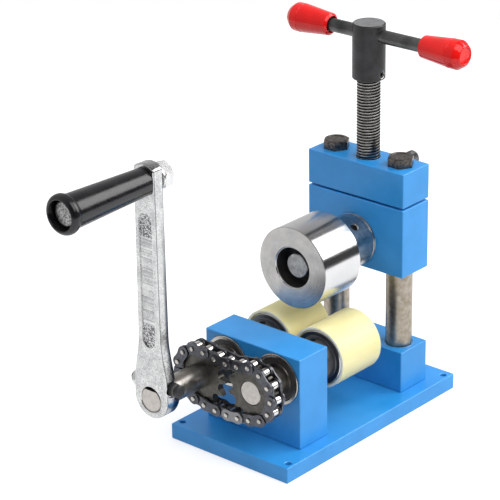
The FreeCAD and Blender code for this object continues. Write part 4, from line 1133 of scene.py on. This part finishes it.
# %% Forged silver
def forged_silver():
    silver = Finish("forged_silver", (0.66, 0.66, 0.65), 1.0, 0.30)
    floor, corner, patch, back, height = flute_masks(silver)
    times, between, blend = silver.times, silver.between, silver.blend
    cloud = silver.noise(0.11, detail=5)
    pits = silver.noise(0.75, detail=4, rough=0.7)
    speck = silver.noise(1.2, detail=3)
    tone = blend(between(cloud, 0.33, 0.66), (0.69, 0.69, 0.68), (0.46, 0.46, 0.46))
    tone = blend(times(between(pits, 0.60, 0.74), 0.6), tone, (0.17, 0.17, 0.18))
    tone = blend(between(speck, 0.58, 0.68, 0, 0.6), tone, (0.17, 0.17, 0.18))
    tone = blend(between(speck, 0.44, 0.34, 0, 0.6), tone, (0.90, 0.90, 0.89))
    # pebbles in the two patches, and ripples in the flute between them, with their light and shade
    # painted on
    cells = silver.node("TexVoronoi", feature="F1")
    silver.feed(cells.inputs["Vector"], silver.mapped())
    cells.inputs["Scale"].default_value = 0.8
    away = cells.outputs["Distance"]
    pebble = times(away, patch)
    # painted highlight on each pebble's top, then painted shade between the pebbles
    tone = blend(times(patch, between(away, 0.40, 0.10, 0, 0.45)), tone, (0.85, 0.85, 0.84))
    tone = blend(between(pebble, 0.40, 0.62, 0, 0.85), tone, (0.10, 0.10, 0.11))
    waves = silver.noise(0.5, silver.mapped((0.01, 0.01, 1)), detail=2)
    ripple = times(between(waves, 0.36, 0.62, -0.5, 0.5), silver.sum("SUBTRACT", floor, patch))
    # dark and light painted bands that follow the ripples' rise and fall
    tone = blend(between(ripple, 0.0, 0.5, 0, 0.5), tone, (0.27, 0.27, 0.27))
    tone = blend(between(ripple, 0.0, -0.5, 0, 0.4), tone, (0.80, 0.80, 0.79))
    # a painted shade line in the flute's corner
    tone = blend(times(corner, 0.75), tone, (0.12, 0.12, 0.125))
    # a painted shade with a bluish painted reflection down the back edge, stronger towards the
    # bottom; rims paler, rubbed bright and with a painted edge highlight
    back_edge_shade = times(between(back, CRANK_Y + 5.0, CRANK_Y + 7.0), between(height, 190, 125, 0, 0.95))
    tone = blend(back_edge_shade, tone, (0.06, 0.07, 0.10))
    rim = times(silver.edges(0.8), between(silver.noise(0.6), 0.35, 0.6, 0.2, 0.8))
    tone = blend(rim, tone, (0.88, 0.88, 0.88))
    skin = silver.bump(cloud, 0.5, 0.35)
    skin = silver.bump(pits, 0.5, 0.07, skin)
    skin = silver.bump(silver.sum("ADD", times(pebble, 2.2), ripple), 0.9, 0.2, skin)
    return silver.wear(tone, between(pits, 0.35, 0.7, 0.10, 0.26), skin)


settle("forged_crank", crank, "crank_roll", "crank_arm", "crank_silver", forged_silver(), smooth=32)

# %% [markdown]
# A cross bolt wedges the crank on its shaft. It has a knurled round head in a spot-faced seat
# and a plated nut on the far side.

# %% Cross bolt and nut
KNURL = machined("knurled_black", (0.050, 0.050, 0.052), (0.030, 0.030, 0.032), 0.40, 1.4, 0.7,
                 metallic=0.6, wear=(0.17, 0.17, 0.17))


def knurled(outline, centre, axis, low, high, deep=0.18, teeth=56):
    """A turned shape whose rim between two places along the axis is ridged."""
    shape = turned(outline, centre, axis, steps=2 * teeth)
    way, out = AXES[axis], SIDEWAYS[axis]
    across = way.cross(out)
    for vert in shape.verts:
        arm = vert.co - Vector(centre)
        along = arm.dot(way)
        if low <= along <= high:
            flat = arm - way * along
            turn = math.atan2(flat.dot(across), flat.dot(out)) * teeth / math.pi
            if round(turn) % 2:
                vert.co -= flat.normalized() * deep
    return shape


head = [(10.75, 4.1), (11.1, 4.5), (16.0, 4.5), (16.3, 4.2), (16.35, 3.8), (16.95, 3.8),
        (17.0, 4.1), (19.8, 4.1), (20.25, 3.6), (20.25, 3.2), (20.1, 3.0)]
shank = [(11.5, 3), (-19.3, 3), (-19.75, 2.6)]
cross_bolt = knurled(head, COTTER, "X", 11.0, 16.1)
join(cross_bolt, turned(shank, COTTER, "X", steps=48))
paint(cross_bolt, 1, lambda face: 16.3 < middle(face).x - COTTER[0] < 16.97)
settle("cross_bolt", cross_bolt, "crank_roll", "crank_cotter_bolt", "bolt_dark", KNURL, SHAFT,
       smooth=25)
nut = hexagon(10, -12.25, -17.25, COTTER, "X", both=True, degrees=90)
nut = cut_with(nut, rod(6.0, -30, 0, COTTER, "X", 48))
settle("cross_bolt_nut", nut, "crank_roll", "crank_cotter_nut", "bright_nut", ZINC)

# %% [markdown]
# ## Grip
# The grip is a moulded sleeve of black plastic that turns on its bolt. It swells towards a
# rounded flange, which has a deep mouth that hides the bolt's head. The moulding is glossy but
# handled, so its roughness wanders.

# %% Grip
def black_moulding():
    black = Finish("black_moulding", (0.016, 0.016, 0.017), 0.0, 0.27)
    cloud = black.noise(0.10, detail=4)
    tone = black.between(cloud, 0.35, 0.65)
    tone = black.blend(tone, (0.005, 0.005, 0.006), (0.011, 0.011, 0.012))
    scuff = black.noise(0.8, black.mapped((1, 0.2, 1)), detail=3)
    tone = black.blend(black.between(scuff, 0.66, 0.8, 0, 0.5), tone, (0.035, 0.035, 0.035))
    skin = black.bump(black.noise(0.4, detail=1), 0.12, 0.015)
    return black.wear(tone, black.between(scuff, 0.35, 0.7, 0.19, 0.27), skin)


GRIP = [(-137.3, 5.05), (-137.3, 8.5), (-137.8, 9.0), (-200.3, 11.15), (-200.7, 10.85),
        (-201.1, 10.85), (-201.5, 11.5), (-202.3, 12.4), (-203.6, 12.88), (-205.3, 12.9),
        (-206.8, 12.4), (-207.8, 11.5), (-208.35, 10.5), (-208.35, 9.9), (-208.0, 9.5),
        (-207.3, 9.3), (-200.5, 9.3), (-200.2, 9.0), (-200.2, 5.05)]
grip = turned(GRIP, EYE, closed=True, steps=128)
soften(grip, 0.3, above=18, segments=3, chosen=lambda edge: edge.verts[0].co.y < -201.2)
settle("black_grip", grip, "grip", "crank_grip", "grip_black", black_moulding(), smooth=45)

# %% [markdown]
# The grip turns on a bolt whose low round head is worn nearly bright. A washer and a chamfered
# nut hold the bolt behind the arm. The nut's hole is countersunk, as most are.

# %% Bolt, washer and nut of the grip
HEAD_MARKED = machined("worn_bolt_head", (0.50, 0.49, 0.48), (0.06, 0.06, 0.06), 0.30, 0.9, 0.9,
                       wear=(0.75, 0.75, 0.75), mottle=0.7)
bolt = [(-116.0, 4.5), (-116.5, 5), (-200.5, 5), (-200.5, 7.9), (-200.8, 8.2), (-203.8, 8.2),
        (-204.3, 7.7), (-204.5, 7.0)]
settle("grip_pivot_bolt", turned(bolt, EYE), "crank_roll", "grip_bolt", "bright_nut", HEAD_MARKED)
washer = turned([(-127.6, 5.2), (-127.6, 9), (-126.0, 9), (-126.0, 5.2)], EYE, closed=True)
settle("grip_washer", soften(washer, 0.3), "crank_roll", "grip_bolt_washer", "bright_nut", ZINC)
nut = hexagon(16, -126.0, -118.0, EYE, "Y", both=True, degrees=-22)
thread = [(-127, 5.05), (-118.7, 5.05), (-117.5, 6.25), (-117, 6.25)]
nut = cut_with(nut, turned(thread, EYE, steps=64))
settle("grip_nut", nut, "crank_roll", "grip_bolt_nut", "bright_nut", ZINC)

# %% [markdown]
# ## Upper roll
# The steel roll does the bending. Its rim is ground and polished until it mirrors the room,
# its face keeps the rings of the facing cut, and the deep mouth is painted dark, a painted shade
# in the recess. These finishes, with the hub's and that of the grub screw's hole, go on one
# turned piece. Where each face lies and points chooses among them.

# %% Steels of the upper roll
ROLL_AXIS = (0, 0, UPPER_Z)
RIM = machined("polished_rim", (0.74, 0.735, 0.73), (0.66, 0.655, 0.655), 0.20, 2.0, 0.5,
               centre=ROLL_AXIS, axis="Y", along=2.0, mottle=0.05, spread=0.03, brushed=0.85)
FACE = machined("faced_roll", (0.51, 0.495, 0.48), (0.38, 0.375, 0.37), 0.27, 3.0, 0.22,
                centre=ROLL_AXIS, axis="Y", along=0.2, mottle=0.09, wear=(0.9, 0.9, 0.9),
                brushed=0.6)
# the mouth's dark finish is painted shade inside the recess
MOUTH = machined("roll_mouth_painted_shade", (0.10, 0.098, 0.092), (0.06, 0.058, 0.055), 0.42, 1.6, 0.3,
                 metallic=0.8)
HUB = machined("roll_hub", (0.52, 0.51, 0.50), (0.30, 0.295, 0.29), 0.30, 1.6, 0.3,
               stretch=(0.3, 2.5, 0.3), mottle=0.2, brushed=0.6)
WORN = machined("worn_shaft_end", (0.42, 0.42, 0.415), (0.25, 0.25, 0.25), 0.42, 0.8, 1.0,
                mottle=0.4, wear=(0.75, 0.75, 0.75))
print("made", ", ".join(m.name for m in (RIM, FACE, MOUTH, HUB, WORN)))

# %% Upper roll
MOUTH_R, HUB_FRONT = 13.75, 13.05
ROLL = [(-11, SHAFT_R), (-11, MOUTH_R), (-22.4, MOUTH_R), (-22.4, 14.3), (-23, 14.6), (-23, 27.6),
        (-22.6, 28), (12.6, 28), (13, 27.6), (13, 18.6), (13.7, 17.9), (39.4, 17.9), (39.6, 17.5),
        (39.9, 17.5), (40.1, 18), (40.9, 18), (41.2, 17.7), (41.2, SHAFT_R)]
roll = soften(turned(ROLL, ROLL_AXIS, closed=True, steps=160), 0.15, above=40)
bore = turned([(0, 2.5), (17.2, 2.5), (19.2, 4.5)], (0, 0, 0), "Z", steps=40)
swing(bore, UPPER_GRUB_LEAN)
grub_foot, grub_way = Vector((0, UPPER_GRUB_Y, UPPER_Z)), about_y(UPPER_GRUB_LEAN)
shift(bore, grub_foot)
roll = cut_with(roll, bore)


def in_countersink(face):
    """Whether a face of the roll is in the sloping rim of the grub screw's hole."""
    near = grub_way.cross(middle(face) - grub_foot).length < 3.4
    return near and 0.4 < face.normal.dot(grub_way) < 0.9


paint(roll, 1, lambda face: face.normal.y < -0.6 and off_axis(face, 0, UPPER_Z) > MOUTH_R + 0.05)
# the mouth's walls and floor get the painted shade
paint(roll, 2, lambda face: off_axis(face, 0, UPPER_Z) < MOUTH_R + 0.15 and middle(face).y < 0)
paint(roll, 3, lambda face: middle(face).y > HUB_FRONT)
paint(roll, 4, in_countersink)
settle("bending_roll", roll, "upper_roll", "upper_roller", "upper_roller_steel", RIM, FACE, MOUTH,
       HUB, ZINC)
shaft = turned([(-18.4, 7.9), (-17.8, SHAFT_R), (72.4, SHAFT_R), (73, 7.9)], ROLL_AXIS)
paint(shaft, 1, lambda face: abs(face.normal.y) > 0.5)
settle("upper_shaft", shaft, "upper_roll", "upper_roll_shaft", "shaft_steel", SHAFT, WORN)

# %% [markdown]
# ## Lead screw
# A screw thread is the one shape a plain spin can't make. Spin also takes a step along its
# axis, and with that the section of one ridge climbs two millimetres a turn. The ridge is wound
# onto a plain core.

# %% Lead screw
LEAD, ROUND = 2.0, 36
THREAD_LOW, THREAD_HIGH = 143.4, 238.4
THREAD = machined("oiled_thread", (0.050, 0.047, 0.045), (0.028, 0.026, 0.025), 0.30, 1.5, 0.2,
                  metallic=0.9, wear=(0.62, 0.60, 0.57), mottle=0.3)
CREST = machined("bright_crest", (0.75, 0.73, 0.70), (0.36, 0.35, 0.33), 0.30, 1.5, 0.2,
                 mottle=0.35)


def wound_ridge():
    """The ridge of a thread: its section spun round the screw while it climbs."""
    ridge = bmesh.new()
    section = [(6.7, -0.84), (7.92, -0.15), (7.92, 0.15), (6.7, 0.84)]
    corners = [ridge.verts.new((wide, FRAME_Y, THREAD_LOW + rise)) for wide, rise in section]
    start = ridge.faces.new(corners)
    steps = int((THREAD_HIGH - THREAD_LOW) / LEAD) * ROUND
    bmesh.ops.spin(
        ridge, geom=[start, *start.edges, *corners], cent=SCREW_AXIS, axis=(0, 0, 1),
        dvec=(0, 0, LEAD / ROUND), angle=2 * math.pi * steps / ROUND, steps=steps, space=Matrix(),
        use_merge=False, use_normal_flip=False, use_duplicate=False,
    )
    return ridge


core = [(132.35, 4.7), (132.65, 5), (134.45, 5), (134.45, 3.5), (137.65, 3.5), (137.65, 5),
        (142.65, 5), (142.65, 6.8), (239.5, 6.8)]
screw = join(turned(core, SCREW_AXIS, "Z", steps=72), wound_ridge())
paint(screw, 1, lambda face: middle(face).z > 142 and
      (middle(face).xy - Vector((0, FRAME_Y))).length > 7.8)
settle("threaded_lead_screw", screw, "screw", "lead_screw", "oxide_steel", THREAD, CREST, smooth=25)

# %% [markdown]
# ## Tee handle
# A turned hub is pinned on the screw and a bar slides through it, so that either end can be
# the longer one. The grub screw's hole has a broken rim, which is bright.

# %% Tee hub and sliding bar
HANDLE = (0, FRAME_Y, 253.4)
TOP = machined("turned_hub_end", (0.30, 0.30, 0.30), (0.22, 0.22, 0.22), 0.46, 2.0, 0.3,
               centre=SCREW_AXIS, axis="Z", metallic=0.6, mottle=0.3)
BAR = machined("drawn_bar", (0.14, 0.14, 0.135), (0.045, 0.045, 0.045), 0.32, 1.1, 0.5,
               stretch=(0.06, 1.2, 1.2), metallic=0.8, mottle=0.06, wear=(0.3, 0.3, 0.3))
hub = [(239.5, 8), (223.5, 8), (223.5, 10.7), (223.8, 11), (260.2, 11), (261, 10.2)]
hub = turned(hub, SCREW_AXIS, "Z", steps=120)
hub = cut_with(hub, rod(9.1, -15, 15, HANDLE, "X", 72))
grub_hole = [(5, 2.5), (10.6, 2.5), (11.2, 3.0), (13, 3.0)]
hub = cut_with(hub, turned(grub_hole, (0, FRAME_Y, HUB_GRUB_Z), "X", steps=40))


def in_hole_rim(face):
    """Whether a face of the hub is in the broken rim of the grub screw's hole."""
    near = (middle(face).yz - Vector((FRAME_Y, HUB_GRUB_Z))).length < 3.2
    return near and middle(face).x > 10.3 and 0.3 < abs(face.normal.x) < 0.95


paint(hub, 1, lambda face: face.normal.z > 0.9)
paint(hub, 2, in_hole_rim)
settle("turned_tee_hub", hub, "screw", "tee_hub", "oxide_steel", OXIDE, TOP, ZINC)
sliding = turned([(-45.75, 4.2), (-45.45, 4.5), (58.45, 4.5), (58.75, 4.2)], HANDLE, "X")
settle("sliding_bar", sliding, "tommy", "tommy_bar", "oxide_steel", BAR)

# %% [markdown]
# ## Red knobs
# The knobs are hard glossy plastic: a cone, a fine parting groove, a narrow band and a sloping
# shoulder round a dished end. Most of their look is gloss over a deep red, so the coat is on
# the shader and the roughness is low.

# %% Knobs
def red_plastic():
    red = Finish("red_gloss", (0.78, 0.006, 0.006), 0.0, 0.22, Coat_Weight=0.6,
                 Coat_Roughness=0.03, Specular_IOR_Level=0.1)
    cloud = red.noise(0.09, detail=4)
    tone = red.blend(red.between(cloud, 0.35, 0.65), (0.84, 0.008, 0.006), (0.70, 0.005, 0.005))
    scuff = red.noise(0.9, detail=2)
    tone = red.blend(red.between(scuff, 0.70, 0.82, 0, 0.35), tone, (0.85, 0.10, 0.08))
    # edges painted paler: a painted highlight along each edge, broken up by the scuffs
    rim = red.times(red.edges(0.5), red.between(scuff, 0.3, 0.6, 0.2, 0.5))
    tone = red.blend(rim, tone, (0.93, 0.13, 0.10))
    skin = red.bump(red.noise(0.5, detail=1), 0.2, 0.02)
    return red.wear(tone, red.between(cloud, 0.3, 0.7, 0.17, 0.28), skin)


RED = red_plastic()
KNOB = [(15, 4.5), (4, 4.5), (3.6, 5.4), (0.3, 5.6), (0, 5.9), (1.4, 7.5), (23.3, 9.72),
        (23.5, 9.45), (24.0, 9.45), (24.2, 9.75), (28.9, 9.75), (29.6, 9.5), (32.9, 7.1),
        (33.4, 6.4), (33.5, 5.9), (33.35, 5.5), (32.9, 5.3), (32.8, 0)]
for side, way, inner in (("left", -1, -30.75), ("right", 1, 43.75)):
    profile = [(inner + way * far, wide) for far, wide in KNOB]
    knob = soften(turned(profile, HANDLE, "X", steps=112), 0.12, above=25)
    settle(f"{side}_red_knob", knob, "tommy", f"{side}_knob", "knob_red", RED, smooth=40)

# %% [markdown]
# ## Behind the bridge
# A long cap screw bears on the lead screw from behind, so that the setting can't drift. Inside
# the head are a thrust washer under the screw's shoulder and the small screw that keeps it.

# %% Lock screw
LOCK = (0, 0, LOCK_Z)
head = [(100, 4.7), (100.4, 5.1), (105.5, 5.1), (106, 4.6)]
shank = [(64.4, 2.5), (64.9, 3), (101, 3)]
lock = cut_with(knurled(head, LOCK, "Y", 100.2, 105.7, 0.2, 48), rod(5.8, 103, 107, LOCK, "Y", 6))
join(lock, turned(shank, LOCK, "Y", steps=48))
settle("knurled_lock_screw", lock, "lock", "lock_screw", "small_screws", OXIDE, smooth=25)

# %% Thrust washer and keeper
BRONZE = machined("thrust_bronze", (0.55, 0.34, 0.14), (0.42, 0.25, 0.10), 0.33, 2.0, 0.2,
                  centre=SCREW_AXIS, axis="Z", wear=(0.75, 0.55, 0.30))
ring = [(141, 5.2), (141, 10.8), (142.6, 10.8), (142.6, 5.2)]
washer = soften(turned(ring, SCREW_AXIS, "Z", closed=True), 0.25)
settle("bronze_thrust_washer", washer, "head", "thrust_washer", "bronze", BRONZE)
keeper = join(grub((0, FRAME_Y + 6.0, KEEPER_Z), (0, 1, 0), 5.0),
              rod(3.0, 59.8, 62.2, (0, 0, KEEPER_Z), "Y", 32))
settle("dog_point_keeper", keeper, "head", "screw_keeper", "small_screws", OXIDE)

# %% [markdown]
# ## Studio
# The machine stands on a white sweep. The camera is far off behind a long lens, above and to
# the right of the crank. It is placed by the two angles it looks along, with a slight roll.

# %% Camera
AZIMUTH, ELEVATION, TILT = 41.32, 22.97, -0.913
CAMERA_PLACE, LENS = (0.8796, -1.0649, 0.7050), 164.82
camera = bpy.data.objects.new("portrait_camera", bpy.data.cameras.new("portrait_camera"))
bpy.context.scene.collection.objects.link(camera)
camera.data.sensor_width = 36.0
camera.data.lens = LENS
camera.data.clip_start, camera.data.clip_end = 0.05, 50.0
side, lift = math.radians(AZIMUTH), math.radians(ELEVATION)
back = Vector((math.sin(side) * math.cos(lift), -math.cos(side) * math.cos(lift), math.sin(lift)))
level = back.to_track_quat("Z", "Y").to_matrix()
turn = (level @ Matrix.Rotation(math.radians(TILT), 3, "Z")).to_4x4()
camera.matrix_world = Matrix.Translation(CAMERA_PLACE) @ turn
bpy.context.scene.camera = camera
print("camera right", [round(v, 4) for v in camera.matrix_world.col[0].xyz])

# %% [markdown]
# The floor has to be white and still keep the machine's shadow. Its own colour is pale grey,
# and only rays from the camera and from glossy surfaces see more light come from it, the glossy
# ones a little less. It is a table of real size, because polished steel also shows what lies
# beyond its edge.

# %% Floor
TABLE_R = 0.9


def seen_by(nodes, *kinds):
    """1 for rays of these kinds, and 0 for the rest."""
    path, most = nodes.node("LightPath"), 0.0
    for kind in kinds:
        most = nodes.sum("MAXIMUM", most, path.outputs[f"Is {kind} Ray"])
    return most


def white_paper():
    paper = bpy.data.materials.new("white_paper")
    paper.use_nodes = True
    nodes = Nodes(paper.node_tree)
    nodes.tree.nodes.clear()
    matt = nodes.fed("BsdfDiffuse", (0.5, 0.5, 0.5, 1))
    shine = nodes.between(seen_by(nodes, "Camera", "Transmission"), 0, 1, 0.5, 0.6)
    glow = nodes.fed("Emission", (1, 1, 1, 1), shine)
    seen = seen_by(nodes, "Camera", "Glossy", "Transmission")
    both = nodes.fed("MixShader", seen, matt, nodes.fed("AddShader", matt, glow))
    nodes.feed(nodes.node("OutputMaterial").inputs[0], both)
    return paper


floor_sheet = bmesh.new()
bmesh.ops.create_circle(floor_sheet, cap_ends=True, radius=TABLE_R, segments=96)
floor = bpy.data.objects.new("white_table", as_mesh(floor_sheet, "white_table"))
bpy.context.scene.collection.objects.link(floor)
floor.data.materials.append(white_paper())
print("white table,", 2 * TABLE_R, "m across")

# %% [markdown]
# Metal looks like metal through what it reflects, so the room isn't the same all round. It
# lights the machine evenly, a little more from above, and the camera sees it white. But gloss
# sees a pale wall on the left that darkens towards the right.

# %% Room
room = bpy.data.worlds.new("studio")
bpy.context.scene.world = room
room.use_nodes = True
nodes = Nodes(room.node_tree)
nodes.tree.nodes.clear()
way = nodes.node("SeparateXYZ")
nodes.feed(way.inputs[0], nodes.node("TexCoord").outputs["Generated"])
leftward = nodes.sum("POWER", nodes.between(way.outputs["X"], 0.72, -0.72), 1.5)
wall = nodes.fed("Background", (1, 1, 1, 1), nodes.between(leftward, 0, 1, 0.04, 0.66))
upward = nodes.between(way.outputs["Z"], 0, 1, 0.32, 1.30)
sky = nodes.fed("Background", (0.94, 0.97, 1.0, 1), upward)
white = nodes.fed("Background", (1, 1, 1, 1), 1.0)
lit = nodes.fed("MixShader", seen_by(nodes, "Glossy"), sky, wall)
seen = nodes.fed("MixShader", seen_by(nodes, "Camera", "Transmission"), lit, white)
nodes.feed(nodes.node("OutputWorld").inputs[0], seen)
print("white room with a pale wall on its left")

# %% [markdown]
# One big softbox stands behind the machine on its right and draws a broad white band along each
# round piece. A second one hangs high on the right, where no mirror on the machine shows it. It
# makes the tops and the right sides bright and leaves the fronts in soft shade.

# %% Lamps
AIM = Vector((0, 0, 0.11))


def softbox(name, place, width, watts):
    """A square lamp that points at the middle of the machine."""
    lamp = bpy.data.objects.new(name, bpy.data.lights.new(name, "AREA"))
    lamp.data.shape = "RECTANGLE"
    lamp.data.size = lamp.data.size_y = width
    lamp.data.energy = watts
    lamp.location = place
    lamp.rotation_mode = "QUATERNION"
    lamp.rotation_quaternion = (Vector(place) - AIM).to_track_quat("Z", "Y")
    bpy.context.scene.collection.objects.link(lamp)
    print(name, watts, "watts")


softbox("band_softbox", (0.92, 1.24, 1.05), 1.15, 20)
softbox("high_softbox", (0.98, -0.08, 1.25), 1.1, 11)
print(len(MADE), "pieces,", sum(MADE), "faces")
